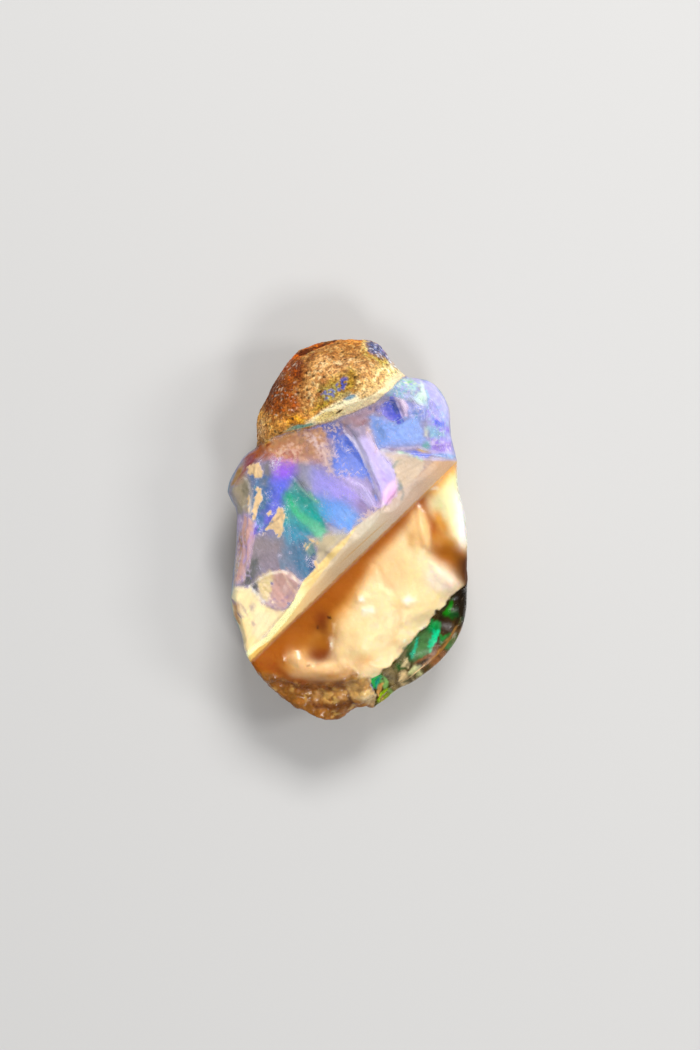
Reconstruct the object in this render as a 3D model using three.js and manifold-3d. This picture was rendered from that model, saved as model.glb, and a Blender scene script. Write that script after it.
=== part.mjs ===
// Rough opal: one natural piece of host rock, crystal opal and potch, grown together.
// It lies on its flat under-break with the opened opal face up.
// Millimetres. +Y runs along the stone to the crust end, +X to its right, +Z up.

import * as THREE from "three";
import { mergeVertices } from "three/addons/utils/BufferGeometryUtils.js";
import { ImprovedNoise } from "three/addons/math/ImprovedNoise.js";
import Module from "manifold-3d";

const wasm = await Module();
wasm.setup();

// ---- Driving dimensions ----

const GIRDLE_Z = 7; // height of the widest girth
const CROWN_Z = 14.4; // highest point of the crust dome
const ABOVE = 24; // height that every top cutter reaches
const GIRTH_POINTS = 112; // vertices round one ring of the nodule
const LUMP_SIZE = 3.1; // spacing of the nodule's own lumps
const LUMP_DEPTH = 0.42; // their height, in and out

// Girth of the nodule at its widest, anticlockwise from where the wall meets the right edge.
const GIRTH = [
  [11.05, 6.9], [10.45, 9.6], [10.3, 12.0], [9.5, 13.9], [8.3, 15.0], [5.75, 15.55],
  [4.5, 16.8], [3.2, 18.6], [2.0, 19.2], [-2.1, 18.95], [-5.1, 17.85], [-6.9, 15.6],
  [-8.15, 13.2], [-8.9, 11.5], [-9.05, 9.8], [-8.95, 8.6], [-10.5, 7.3], [-12.1, 3.9], [-11.25, 2.1],
  [-11.2, -0.6], [-11.55, -4.8], [-11.75, -7.9], [-10.7, -10.6], [-10.25, -12.5],
  [-7.7, -16.0], [-4.7, -18.2], [-1.3, -19.25], [1.3, -17.85], [3.8, -18.2],
  [6.7, -15.7], [10.2, -12.5], [11.85, -9.3], [12.05, -3.2], [11.85, 1.6], [11.15, 4.3],
];

// Rings of the nodule below the girth: [height, share of the girth].
const LOWER_RINGS = [
  [0, 0.25], [0, 0.5], [0.5, 0.64], [1.4, 0.77], [2.7, 0.88], [4.2, 0.955], [5.6, 0.99],
];

// Shares of the girth at which rings lie above it, and how square the shoulder is.
const UPPER_SHARES = [
  1, 0.993, 0.98, 0.962, 0.938, 0.91, 0.87, 0.825, 0.77, 0.71, 0.64, 0.56, 0.46, 0.34, 0.18,
];
const SHOULDER = 13;

// The crust dome is highest here; it falls away to both sides and to the crust end.
const DOME = { x: 0.5, y: 10.5, fallX: 0.015, fallY: 0.045 };

// The opal face: a nearly flat break that tips towards the lower left corner.
const FACE = { z: 12.45, slopeX: 0.02, slopeY: 0.04 };

// Straight wall between the opal face and the potch ledge.
const WALL_TURN = THREE.MathUtils.degToRad(44); // its run, from +X
const WALL_OFFSET = 2.88; // distance of its foot from the origin, on the ledge side
const WALL_SLOPE = 1.7; // rise over run

const CRUST_LEAN = 0.75; // run over rise of the crust's broken edge

// Edge of the crust, where the opal face was opened, from the left notch to the right one.
const CRUST_EDGE = [
  [-11.5, 7.3], [-9.2, 8.3], [-7.0, 9.2], [-5.2, 9.8], [-3.2, 10.2], [-1.3, 10.9],
  [0.5, 11.6], [2.3, 12.4], [3.6, 13.3], [4.5, 14.2], [5.6, 15.3], [7.2, 17.0],
];

// ---- Helpers ----

const noise = new ImprovedNoise();

// A closed geometry as a manifold solid.
function solid(geometry) {
  const bare = new THREE.BufferGeometry();
  bare.setAttribute("position", geometry.getAttribute("position"));
  if (geometry.index) bare.setIndex(geometry.index);
  const merged = mergeVertices(bare, 1e-4);
  return new wasm.Manifold(
    new wasm.Mesh({
      numProp: 3,
      vertProperties: new Float32Array(merged.attributes.position.array),
      triVerts: new Uint32Array(merged.index.array),
    }),
  );
}

function geometryOf(points, triangles) {
  const g = new THREE.BufferGeometry();
  g.setAttribute("position", new THREE.Float32BufferAttribute(points.flat(), 3));
  g.setIndex(triangles.flat());
  return g;
}

// A prism over a plan outline, its underside following `floor(x, y)`.
// `spread` moves the top edge outwards, so that the sides lean back.
function prism(outline, floor, spread = 0) {
  const flat = outline.map(([x, y]) => new THREE.Vector2(x, y));
  if (THREE.ShapeUtils.isClockWise(flat)) flat.reverse();
  const n = flat.length;
  const low = flat.map((p) => [p.x, p.y, floor(p.x, p.y)]);
  const high = flat.map((p, i) => {
    const along = flat[(i + 1) % n].clone().sub(flat[(i + n - 1) % n]).normalize();
    return [p.x + along.y * spread, p.y - along.x * spread, ABOVE];
  });
  const caps = THREE.ShapeUtils.triangulateShape(flat, []);
  const triangles = [];
  for (const [a, b, c] of caps) {
    triangles.push([a, c, b], [a + n, b + n, c + n]);
  }
  for (let i = 0; i < n; i += 1) {
    const j = (i + 1) % n;
    triangles.push([i, j, j + n], [i, j + n, i + n]);
  }
  return solid(geometryOf([...low, ...high], triangles));
}

// A plan point just past the foot of the wall, `along` its run.
function foot(along) {
  const past = WALL_OFFSET + 0.05;
  return [
    along * Math.cos(WALL_TURN) + past * Math.sin(WALL_TURN),
    along * Math.sin(WALL_TURN) - past * Math.cos(WALL_TURN),
  ];
}

const faceZ = (x, y) => FACE.z + FACE.slopeX * x + FACE.slopeY * y;

// A shallow shell-shaped break: an ellipsoid that bites `deep` below `level(x, y)`.
// `long` and `wide` are the half lengths of the bite, `turn` its direction in plan,
// `lean` tips it along its length, so that one end has a crisp edge.
function bite({ x, y, long, wide, deep, turn = 0, lean = 0, level = faceZ, finish = 8 }) {
  const tall = 4 * deep;
  const grow = 1 / Math.sqrt(1 - 0.75 ** 2);
  const g = new THREE.IcosahedronGeometry(1, finish);
  g.scale(long * grow, wide * grow, tall);
  g.translate(0, 0, tall - deep);
  g.rotateY(THREE.MathUtils.degToRad(lean));
  g.rotateZ(THREE.MathUtils.degToRad(turn));
  g.translate(x, y, 0);
  const place = g.getAttribute("position");
  for (let i = 0; i < place.count; i += 1) {
    place.setZ(i, place.getZ(i) + level(place.getX(i), place.getY(i)));
  }
  return solid(g);
}

// Everything beyond a plane that faces a bearing in plan and dips below the horizon.
// The plane just touches the girth, moved out by `margin`.
function undercut(bearing, dip, margin) {
  const b = THREE.MathUtils.degToRad(bearing);
  const d = THREE.MathUtils.degToRad(dip);
  const support = Math.max(...GIRTH.map(([x, y]) => x * Math.cos(b) + y * Math.sin(b)));
  const g = new THREE.BoxGeometry(80, 80, 40);
  g.translate(0, 0, 20 + support * Math.cos(d) + margin);
  g.rotateY(Math.PI / 2 + d);
  g.rotateZ(b);
  g.translate(0, 0, GIRDLE_Z);
  return solid(g);
}

// ---- Nodule: the whole stone before its breaks ----

function crownZ(x, y) {
  const side = DOME.fallX * (x - DOME.x) ** 2;
  return CROWN_Z - side - DOME.fallY * Math.max(0, y - DOME.y) ** 2;
}

function nodule() {
  const corners = GIRTH.map(([x, y]) => new THREE.Vector3(x, y, 0));
  const curve = new THREE.CatmullRomCurve3(corners, true, "centripetal");
  const girth = curve.getSpacedPoints(GIRTH_POINTS).slice(0, GIRTH_POINTS);
  const points = [];
  const lump = (x, y, z) => {
    return 2 * LUMP_DEPTH * noise.noise(x / LUMP_SIZE, y / LUMP_SIZE, z / LUMP_SIZE);
  };
  for (const [z, share] of LOWER_RINGS) {
    const quiet = Math.min(1, z / 2) * Math.min(1, (GIRDLE_Z - z) / 3);
    for (const p of girth) {
      const r = share + (quiet * lump(p.x * share, p.y * share, z)) / p.length();
      points.push([p.x * r, p.y * r, z]);
    }
  }
  for (const share of UPPER_SHARES) {
    const rise = Math.sqrt(1 - share ** SHOULDER);
    for (const p of girth) {
      const x = p.x * share;
      const y = p.y * share;
      const z = GIRDLE_Z + (crownZ(x, y) - GIRDLE_Z) * rise;
      points.push([x, y, z + 0.8 * rise * lump(x, y, z)]);
    }
  }
  const triangles = [];
  const n = GIRTH_POINTS;
  const rings = LOWER_RINGS.length + UPPER_SHARES.length;
  for (let ring = 0; ring < rings - 1; ring += 1) {
    for (let i = 0; i < n; i += 1) {
      const a = ring * n + i;
      const b = ring * n + ((i + 1) % n);
      triangles.push([a, b, b + n], [a, b + n, a + n]);
    }
  }
  const under = points.push([0, 0, 0]) - 1;
  const crown = points.push([0, 0, crownZ(0, 0)]) - 1;
  const last = (rings - 1) * n;
  for (let i = 0; i < n; i += 1) {
    const j = (i + 1) % n;
    triangles.push([under, j, i], [crown, last + i, last + j]);
  }
  return solid(geometryOf(points, triangles));
}

// ---- Opal face: flat break below the crust, with shell-shaped scars and flat facets ----

// Flat facets of the opal face. Each floor lies `drop` below the face at the outline's
// middle, and tips by `east` and `north` (rise per millimetre along +X and +Y).
const FACETS = [
  { // deep scar on the left of the raised blade
    outline: [
      [-2.3, 11.0], [-0.5, 10.5], [0.6, 9.2], [1.35, 7.7], [1.95, 6.0], [2.55, 4.2], [3.0, 2.4],
      [1.5, 4.6], [0.0, 5.2], [-1.5, 5.7], [-2.1, 7.4], [-1.8, 9.0],
    ],
    drop: 0.58, east: -0.17, north: 0.02,
  },
  { // terrace below it, down to the brink
    outline: [[-3.6, 5.4], [-1.5, 5.7], [0.0, 5.2], [1.5, 4.6], [3.2, 2.0], [1.6, -1.2], [-3.6, 3.2]],
    drop: 0.5, east: 0.07, north: 0.07,
  },
  { // wedge that runs down from a tip
    outline: [[-5.2, 5.4], [-3.6, 3.2], [-0.9, 0.7], [0.6, -1.6], [-3.2, -2.0], [-5.6, -1.4], [-5.9, 2.2]],
    drop: 0.76, east: 0.12, north: -0.01,
  },
  { // slope on its left
    outline: [[-8.1, 8.6], [-5.4, 7.4], [-5.2, 5.4], [-5.9, 2.2], [-8.6, 0.2], [-9.7, 2.6], [-8.9, 6.2]],
    drop: 0.78, east: -0.04, north: 0.1,
  },
  { // hollow over the lower left
    outline: [
      [-10.3, 0.6], [-8.6, 0.2], [-5.9, 2.0], [-5.6, -1.0], [-3.2, -1.6], [-1.6, -3.0],
      [-4.6, -5.2], [-6.3, -4.1], [-9.8, -5.7], [-10.6, -4.8],
    ],
    drop: 0.74, east: -0.07, north: 0.05,
  },
  { // pale plane on the right of the blade
    outline: [[2.0, 10.4], [3.3, 8.0], [3.7, 7.6], [12, 7.3], [12, 11], [8, 11.6], [3.2, 11.4]],
    drop: 0.42, east: -0.04, north: 0.12,
  },
  { // three-sided pit above it, and a small one beside that
    outline: [[3.2, 12.9], [4.9, 12.6], [5.4, 11.3], [4.5, 10.6], [3.6, 11.3]],
    drop: 0.6, east: -0.2, north: -0.05,
  },
  { outline: [[2.1, 12.2], [2.9, 12.2], [2.6, 11.5]], drop: 0.35, east: -0.1, north: 0 },
  { // chip near the right notch
    outline: [[6.1, 15.8], [7.4, 15.2], [8.1, 12.4], [7.3, 12.2], [6.4, 13.4]],
    drop: 0.55, east: -0.05, north: -0.12,
  },
  { // lobe that falls to the upper right edge
    outline: [[7.7, 17], [8.1, 12.4], [7.6, 10.2], [9.0, 8.9], [16, 7], [16, 17]],
    drop: 1.6, east: -0.3, north: -0.1,
  },
  { // folds at the right edge
    outline: [[6.9, 7.6], [8.8, 8.9], [14, 8.0], [14, 6.4], [10.4, 7.1]],
    drop: 0.85, east: -0.08, north: 0.14,
  },
  { // frosted facet between the blade and the wall
    outline: [[3.6, 7.5], [5.0, 5.7], [5.25, 4.3], [3.7, 2.2], [20, -6], [20, 7.2]],
    drop: 0.85, east: 0.02, north: 0.12,
  },
  { // upper left edge
    outline: [[-9.0, 9.6], [-9.3, 5.6], [-10.0, 2.6], [-14, 1.6], [-14, 9.6]],
    drop: 1.5, east: 0.4, north: 0.05,
  },
  { // left edge
    outline: [[-9.9, 2.6], [-10.3, -1], [-10.1, -5.6], [-14, -5.6], [-14, 2.6]],
    drop: 1.7, east: 0.6, north: 0.03,
  },
  { // lower left corner
    outline: [[-14, -5.2], [-9.8, -5.7], [-8.0, -7.7], [-6.3, -8.1], [-3.5, -6.2], [-3, -14], [-14, -14]],
    drop: 1.0, east: 0.06, north: 0.17,
  },
];
const SCARP_LEAN = 0.6; // run over rise of a facet's own edge

// Outline of the lens-shaped scar over the lower left corner; its lower left side is straight.
const LENS = [
  [-9.8, -5.7], [-8.6, -5.0], [-7.3, -4.3], [-6.2, -4.1], [-5.2, -4.5], [-4.6, -5.3],
  [-5.1, -6.8], [-5.8, -7.8], [-6.9, -8.1], [-8.0, -7.7],
];

function facet({ outline, drop, east, north }) {
  const middle = [0, 1].map((k) => {
    return outline.reduce((sum, corner) => sum + corner[k], 0) / outline.length;
  });
  const floor = (x, y) => {
    return faceZ(x, y) - drop + east * (x - middle[0]) + north * (y - middle[1]);
  };
  return prism(outline, floor, SCARP_LEAN * (ABOVE - FACE.z));
}

function opalFace() {
  const region = [...CRUST_EDGE].reverse();
  region.push([-40, 4], foot(-50), foot(50));
  const open = prism(region, () => 3);
  const face = prism(region, faceZ, CRUST_LEAN * (ABOVE - FACE.z));
  const cuts = FACETS.map(facet);

  // Broad scar of the left half; its right rim is the edge of the raised blade.
  cuts.push(bite({ x: -5.6, y: 3.6, long: 7.9, wide: 7.8, deep: 0.6, turn: 30, finish: 10 }));

  // Lens-shaped scar, clipped to its outline.
  const shell = bite({ x: -7.3, y: -6.0, long: 3.3, wide: 2.6, deep: 1.15, turn: -14, lean: -2 });
  cuts.push(shell.intersect(prism(LENS, () => 3)));

  // Bevel along the brink of the wall; it tapers out towards the middle.
  const brink = [[1.6, 0.6], [-4.6, -5.1], [-5.1, -6.6], [-6.2, -8.2], [-12, -14], foot(-20), foot(3)];
  cuts.push(
    prism(brink, (x, y) => {
      const past = x * Math.sin(WALL_TURN) - y * Math.cos(WALL_TURN);
      const along = x * Math.cos(WALL_TURN) + y * Math.sin(WALL_TURN);
      return faceZ(x, y) - 0.15 - 0.65 * (past - 0.9 - 0.1 * along);
    }),
  );
  return [face, ...cuts.map((cut) => cut.intersect(open))];
}

// ---- Potch ledge: lower step, a lumpy once-gelled surface ----

// Swellings and hollows of the ledge: [x, y, half length, half width, turn, height].
const SWELLINGS = [
  [3.6, -7.4, 5.4, 3.4, 44, 1.1], // broad pale mound
  [1.2, -11.2, 2.6, 1.9, 70, 0.7],
  [6.6, -6.6, 2.6, 1.8, 20, 0.3],
  [7.3, -0.6, 2.0, 1.1, -62, 0.95], // knob near the wall
  [6.0, -2.9, 1.9, 1.4, 10, 0.5],
  [10.3, 2.6, 3.8, 1.5, -75, 0.95], // ridge along the right edge
  [10.9, -1.6, 1.8, 1.2, -80, 0.4],
  [9.6, -4.8, 1.7, 1.2, -35, 0.75],
  [-5.2, -12.9, 1.3, 0.9, -40, 0.5], // lesser swellings over the rim
  [-2.6, -14.1, 2.2, 0.7, 5, 0.6],
  [-3.2, -10.9, 2.5, 1.7, 35, -0.85], // brown hollow
  [9.6, -2.8, 1.7, 0.9, -15, -0.5], // valley behind the ridge
  [8.7, 1.2, 2.8, 0.8, -62, -0.55],
  [-6.0, -10.6, 4.5, 1.0, 44, -0.25], // trough along the foot of the wall
  [2.0, -3.0, 5.0, 1.0, 44, -0.3],
];

// Lower edge of the ledge, where its green seam and the crystalline rim begin.
const SEAM_BEARING = THREE.MathUtils.degToRad(-45);
const SEAM_OFFSET = 12.35;
const RIM_Y = -14.9;

function ledgeZ(x, y) {
  let z = 9.35 + 0.02 * x + 0.03 * y;
  for (const [cx, cy, long, wide, turn, height] of SWELLINGS) {
    const t = THREE.MathUtils.degToRad(turn);
    const u = ((x - cx) * Math.cos(t) + (y - cy) * Math.sin(t)) / long;
    const v = ((y - cy) * Math.cos(t) - (x - cx) * Math.sin(t)) / wide;
    z += height * Math.exp(-(u * u + v * v));
  }
  const ragged = 1.7 * noise.noise(x / 2.6, y / 2.6, 8.1);
  const pastSeam = x * Math.cos(SEAM_BEARING) + y * Math.sin(SEAM_BEARING) - SEAM_OFFSET + ragged;
  const pastRim = RIM_Y - y + ragged;
  z -= 0.8 * THREE.MathUtils.smoothstep(pastSeam, -0.7, 0.9) + 0.3 * Math.max(0, pastSeam);
  z -= 0.6 * THREE.MathUtils.smoothstep(pastRim, -0.8, 1.0) + 0.25 * Math.max(0, pastRim);
  z += 0.2 * noise.noise(x / 2.3, y / 2.3, 3.3);
  return z;
}

function ledge() {
  const step = 0.47;
  const across = 49;
  const along = 80;
  const points = [];
  const run = new THREE.Vector2(Math.cos(WALL_TURN), Math.sin(WALL_TURN));
  const out = new THREE.Vector2(run.y, -run.x);
  const place = (u, v) => run.clone().multiplyScalar(u).addScaledVector(out, WALL_OFFSET + v);
  for (const top of [false, true]) {
    for (let i = 0; i <= along; i += 1) {
      const u = (i - along / 2) * step;
      for (let j = -1; j <= across; j += 1) {
        const spot = place(u, Math.max(0, j) * step);
        const z = ledgeZ(spot.x, spot.y);
        if (j >= 0) {
          points.push([spot.x, spot.y, top ? ABOVE : z]);
        } else {
          const lip = place(u, -(ABOVE - 1 - z) / WALL_SLOPE);
          points.push([lip.x, lip.y, top ? ABOVE : ABOVE - 1]);
        }
      }
    }
  }
  const row = across + 2;
  const layer = row * (along + 1);
  const triangles = [];
  const quad = (a, b, c, d) => triangles.push([a, b, c], [a, c, d]);
  for (let i = 0; i < along; i += 1) {
    for (let j = 0; j < row - 1; j += 1) {
      const a = i * row + j;
      quad(a, a + row, a + row + 1, a + 1);
      quad(a + layer, a + layer + 1, a + layer + row + 1, a + layer + row);
    }
    const near = i * row;
    const far = near + row - 1;
    quad(near, near + layer, near + layer + row, near + row);
    quad(far, far + row, far + layer + row, far + layer);
  }
  const end = along * row;
  for (let j = 0; j < row - 1; j += 1) {
    quad(j, j + 1, j + 1 + layer, j + layer);
    quad(end + j, end + j + layer, end + j + 1 + layer, end + j + 1);
  }
  return solid(geometryOf(points, triangles));
}

// ---- Underside and flanks: older, duller breaks ----

function flanks() {
  return [
    undercut(184, 34, 0.15),
    undercut(128, 44, 0.3),
    undercut(74, 30, 0.2),
    undercut(4, 38, 0.2),
    undercut(-52, 46, 0.3),
    undercut(-112, 33, 0.2),
  ];
}

let stone = nodule();
for (const cut of [...opalFace(), ledge(), ...flanks()]) {
  stone = stone.subtract(cut);
}

const mesh = stone.getMesh();
const geometry = new THREE.BufferGeometry();
geometry.setAttribute("position", new THREE.BufferAttribute(new Float32Array(mesh.vertProperties), 3));
geometry.setIndex(new THREE.BufferAttribute(new Uint32Array(mesh.triVerts), 1));

// The origin is the middle of the resting break, under the middle of the stone's box.
geometry.computeBoundingBox();
const box = geometry.boundingBox;
geometry.translate(-(box.min.x + box.max.x) / 2, -(box.min.y + box.max.y) / 2, -box.min.z);
geometry.computeVertexNormals();

const opal = new THREE.Mesh(
  geometry,
  new THREE.MeshStandardMaterial({ color: 0xd9c7a8, roughness: 0.4, metalness: 0 }),
);
opal.name = "rough_opal";

const group = new THREE.Group();
group.name = "rough opal";
group.add(opal);

export default group;
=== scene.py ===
import math

import bpy
import numpy as np
from mathutils import Matrix, Vector


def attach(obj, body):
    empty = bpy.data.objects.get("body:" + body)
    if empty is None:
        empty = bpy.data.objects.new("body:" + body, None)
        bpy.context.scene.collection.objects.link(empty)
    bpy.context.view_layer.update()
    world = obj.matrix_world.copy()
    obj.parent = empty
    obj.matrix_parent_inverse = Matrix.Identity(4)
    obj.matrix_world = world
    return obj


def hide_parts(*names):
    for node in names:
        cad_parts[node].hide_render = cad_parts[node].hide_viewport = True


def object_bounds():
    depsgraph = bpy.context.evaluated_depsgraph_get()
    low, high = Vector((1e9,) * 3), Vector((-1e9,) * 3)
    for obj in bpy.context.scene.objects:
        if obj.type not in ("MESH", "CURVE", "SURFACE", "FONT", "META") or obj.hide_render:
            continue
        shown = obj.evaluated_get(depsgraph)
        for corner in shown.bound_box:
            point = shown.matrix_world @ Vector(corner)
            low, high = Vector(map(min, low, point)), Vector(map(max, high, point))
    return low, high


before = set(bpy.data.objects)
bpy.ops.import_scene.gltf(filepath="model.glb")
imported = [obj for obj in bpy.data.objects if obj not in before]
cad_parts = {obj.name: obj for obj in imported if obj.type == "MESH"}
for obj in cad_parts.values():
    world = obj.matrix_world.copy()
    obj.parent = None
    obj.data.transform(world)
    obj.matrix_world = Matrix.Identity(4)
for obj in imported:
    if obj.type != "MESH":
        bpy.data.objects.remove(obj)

cad_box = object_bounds()

# ---- Skin of the stone ----
# The outer surface of the one grown stone, as an even net fine enough to carry sand grains
# and chips. Crust, clear opal, potch, rim and seam are zones of it, parted by plan lines.

MM = 0.001
NET = 0.128  # spacing of the net, mm

raw = bpy.data.objects.new("raw_stone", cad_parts["rough_opal"].data.copy())
bpy.context.scene.collection.objects.link(raw)
raw.data.transform(Matrix.Scale(1 / MM, 4))
even = raw.modifiers.new("even net", "REMESH")
even.mode = "VOXEL"
even.voxel_size = NET
net = bpy.data.meshes.new_from_object(raw.evaluated_get(bpy.context.evaluated_depsgraph_get()))
count = len(net.vertices)
skin = np.empty(count * 3, np.float32)
net.vertices.foreach_get("co", skin)
skin = skin.reshape(-1, 3).astype(float)
quads = np.empty(len(net.polygons) * 4, np.int32)
net.polygons.foreach_get("vertices", quads)
quads = quads.reshape(-1, 4)
bpy.data.objects.remove(raw)
bpy.data.meshes.remove(net)

sides = np.concatenate([quads[:, [i, (i + 1) % 4]] for i in range(4)])
sides = np.unique(np.sort(sides, axis=1), axis=0)
ends = np.concatenate([sides, sides[:, ::-1]])
valence = np.bincount(ends[:, 0], minlength=count).astype(float)


def around(values):
    """The mean of each point's neighbours."""
    if values.ndim == 1:
        return np.bincount(ends[:, 0], values[ends[:, 1]], count) / valence
    return np.stack([around(values[:, k]) for k in range(values.shape[1])], 1)


def relax(values, rounds, share=0.6):
    """Evens values out over the net, a share of the way at each round."""
    for _ in range(rounds):
        values = values + share * (around(values) - values)
    return values


def facing(points):
    """Unit normals of the net."""
    a, b, c, d = (points[quads[:, i]] for i in range(4))
    across = np.cross(c - a, d - b)
    owner = quads.ravel()
    total = np.stack([np.bincount(owner, np.repeat(across[:, k], 4), count) for k in range(3)], 1)
    return total / np.maximum(np.linalg.norm(total, axis=1, keepdims=True), 1e-9)


def smooth(low, high, value):
    """Soft step from 0 at low to 1 at high; low may be the larger."""
    t = np.clip((value - low) / (high - low), 0, 1)
    return t * t * (3 - 2 * t)


def scrambled(cell, seed):
    """A fixed but random-looking number for each lattice cell, and its three low bytes."""
    h = cell @ np.array([73856093, 19349663, 83492791]) + seed
    h = (h ^ (h >> 13)) * 1274126177 & 0x7FFFFFFF
    h = (h ^ (h >> 11)) * 668265263 & 0x7FFFFFFF
    h ^= h >> 15
    return h, np.stack([h & 255, h >> 8 & 255, h >> 16 & 255], 1)


def noise(points, size, seed=0):
    """Smooth lattice noise from about -1 to 1; size is the spacing in mm."""
    place = points / size
    cell = np.floor(place).astype(np.int64)
    f = place - cell
    ease = f * f * f * (f * (f * 6 - 15) + 10)
    total = np.zeros(len(points))
    for corner in np.ndindex(2, 2, 2):
        slope = scrambled(cell + corner, seed * 6271)[1] / 127.5 - 1
        weight = np.prod(np.where(corner, ease, 1 - ease), 1)
        total += weight * np.sum(slope * (f - corner), 1)
    return total * 1.5


def layered(points, size, seed=0, octaves=3, fade=0.5):
    """Noise with finer and fainter noise laid over it."""
    return sum(noise(points, size / 2**i, seed + i) * fade**i for i in range(octaves))


def reach(x, y, outline):
    """Distance of plan points from an outline, mm; negative inside it."""
    near = np.full(x.shape, 1e9)
    inside = np.zeros(x.shape, bool)
    for (ax, ay), (bx, by) in zip(outline, outline[1:] + outline[:1]):
        ex, ey = bx - ax, by - ay
        t = np.clip(((x - ax) * ex + (y - ay) * ey) / (ex * ex + ey * ey), 0, 1)
        near = np.minimum(near, np.hypot(x - ax - t * ex, y - ay - t * ey))
        if ay != by:
            inside ^= ((ay > y) != (by > y)) & (x < ax + (y - ay) / ey * ex)
    return np.where(inside, -near, near)


WALL_TURN = math.radians(44)  # the wall's bearing in plan
WALL_FOOT = 2.88  # how far the wall's foot lies past the stone's middle, mm
UNDER_TOP = 4.6  # height up to which the old underside reaches, mm
CRUST_LINE = (  # plan line along the broken edge of the crust
    (-11.5, 7.3), (-9.2, 8.3), (-7.0, 9.2), (-5.2, 9.8), (-3.2, 10.2), (-1.3, 10.9),
    (0.5, 11.6), (2.3, 12.4), (3.6, 13.3), (4.5, 14.2), (5.6, 15.3), (7.2, 17.0),
)
SEAM_OUTLINE = [  # the brown seam at the lower right
    (13.5, -4.2), (11.6, -5.8), (10.6, -6.4), (9.8, -7.6), (8.9, -8.2), (8.1, -9.5), (7.0, -10.5),
    (6.1, -11.5), (5.2, -12.5), (4.7, -13.3), (3.6, -14.1), (3.2, -14.6), (2.3, -14.9),
    (2.4, -15.8), (2.9, -17.0), (2.6, -19.5), (14, -19.5),
]
RIM_OUTLINE = [  # the grainy rim below the potch
    (2.6, -19.5), (3.0, -17.0), (2.5, -15.8), (2.2, -14.8), (1.4, -14.6), (0.6, -14.1),
    (0.0, -14.9), (-1.4, -15.3), (-3.2, -15.5), (-5.6, -15.2), (-8.5, -14.2), (-12, -15.5),
    (-8, -20),
]

# Plan distances: `past` grows down the wall, `along` runs beside it to the upper right. Each
# _side is positive inside its zone, and each zone's own share of a point runs from 0 to 1.
x, y, z = skin.T
past = x * math.sin(WALL_TURN) - y * math.cos(WALL_TURN)
along = x * math.cos(WALL_TURN) + y * math.sin(WALL_TURN)
wander = 0.12 * layered(skin, 1.1, 1)
crust_side = (y - np.interp(x, *zip(*CRUST_LINE))) * 0.89 + wander
ledge_side = past - WALL_FOOT
seam_side = -reach(x, y, SEAM_OUTLINE) + wander + 0.14 * noise(skin, 0.5, 7)
rim_side = -reach(x, y, RIM_OUTLINE) + wander
under_side = UNDER_TOP + 0.9 * layered(skin, 3.4, 2) - z

under = smooth(-0.6, 0.6, under_side)
top = 1 - under
crust = smooth(-0.12, 0.12, crust_side)
ledge = smooth(-0.12, 0.12, ledge_side) * (1 - crust)
seam = smooth(-0.12, 0.12, seam_side) * ledge
rim = smooth(-0.3, 0.3, rim_side) * ledge * (1 - seam)
potch = ledge * (1 - seam) * (1 - rim)
opal = (1 - crust) * (1 - ledge)
# Plan line of the crest at which the wall ends on the upper right.
CREST = ((3.4, 7.9), (5.4, 7.65), (7.2, 7.1), (8.4, 6.95), (12.5, 6.9))
below_crest = smooth(0.1, -0.1, y - np.interp(x, *zip(*CREST)))
wall = opal * smooth(0.95, 1.25, past) * np.maximum(below_crest, smooth(3.4, 3, x))

# The solid's small faces are rubbed smooth, most on the once-gelled potch, least on the opal.
rub = 1.05 * potch + 0.75 * crust + 0.8 * seam + 0.4 * rim + 0.05 * opal
rub += 0.7 * opal * below_crest * smooth(3.6, 5.4, along) * smooth(1.3, 0.4, np.abs(past - 0.8))
CALM = [  # two spots of the opal face with softer edges
    [(-4.0, -0.8), (-2.8, -0.9), (-1.0, -2.6), (-1.8, -3.6), (-2.6, -3.0)],
    [(-3, 2.1), (-2.4, 2.2), (0.9, -0.9), (0.2, -1.5)],
]
for outline in CALM:
    rub += 0.75 * opal * smooth(0.3, -0.2, reach(x, y, outline))
crease = facing(skin)
crease = relax(np.linalg.norm(crease - relax(crease, 3), axis=1), 1)
rub = np.maximum(relax(rub, 4) + 0.3 * opal * smooth(0.02, 0.1, crease), 0.5 * under)
RUBS = 36
POLISHES = 70  # further rounds for the glassy seam
rubbed = skin.copy()
for _ in range(RUBS):
    rubbed += (rub**1.5)[:, None] * 0.6 * (around(rubbed) - rubbed)
rubbed += 0.25 * (around(rubbed) - rubbed)
polished = relax(seam * smooth(0.1, 0.6, seam_side), 3)[:, None]
for _ in range(POLISHES):
    rubbed += 0.6 * polished * (around(rubbed) - rubbed)
normal = facing(rubbed)
x, y, z = rubbed.T
relief = np.zeros(count)  # height of the fine relief over the rubbed skin, mm

# ---- Sandy crust ----
# The rind of iron-stained sand that the opal grew against: tan grains cemented by silica,
# rusty towards the left, with a soft cream seam along its broken lower edge.


def cells(points, size, seed=0):
    """Distance to the nearest and to the second grain, in grain sizes, and the grain's number."""
    place = points / size
    base = np.floor(place).astype(np.int64)
    first = np.full(len(points), 9.0)
    second = np.full(len(points), 9.0)
    which = np.zeros(len(points), np.int64)
    for step in np.ndindex(3, 3, 3):
        cell = base + step - 1
        number, low_bytes = scrambled(cell, seed * 7919)
        seat = cell + low_bytes / 255
        far = np.linalg.norm(seat - place, axis=1)
        closer = far < first
        second = np.where(closer, first, np.minimum(second, far))
        which = np.where(closer, number, which)
        first = np.where(closer, far, first)
    return first, second, which


def shade(code):
    """Linear colour of a plain hex code."""
    c = np.array([int(code[i : i + 2], 16) for i in (1, 3, 5)]) / 255
    return np.where(c <= 0.04045, c / 12.92, ((c + 0.055) / 1.055) ** 2.4)


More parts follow.
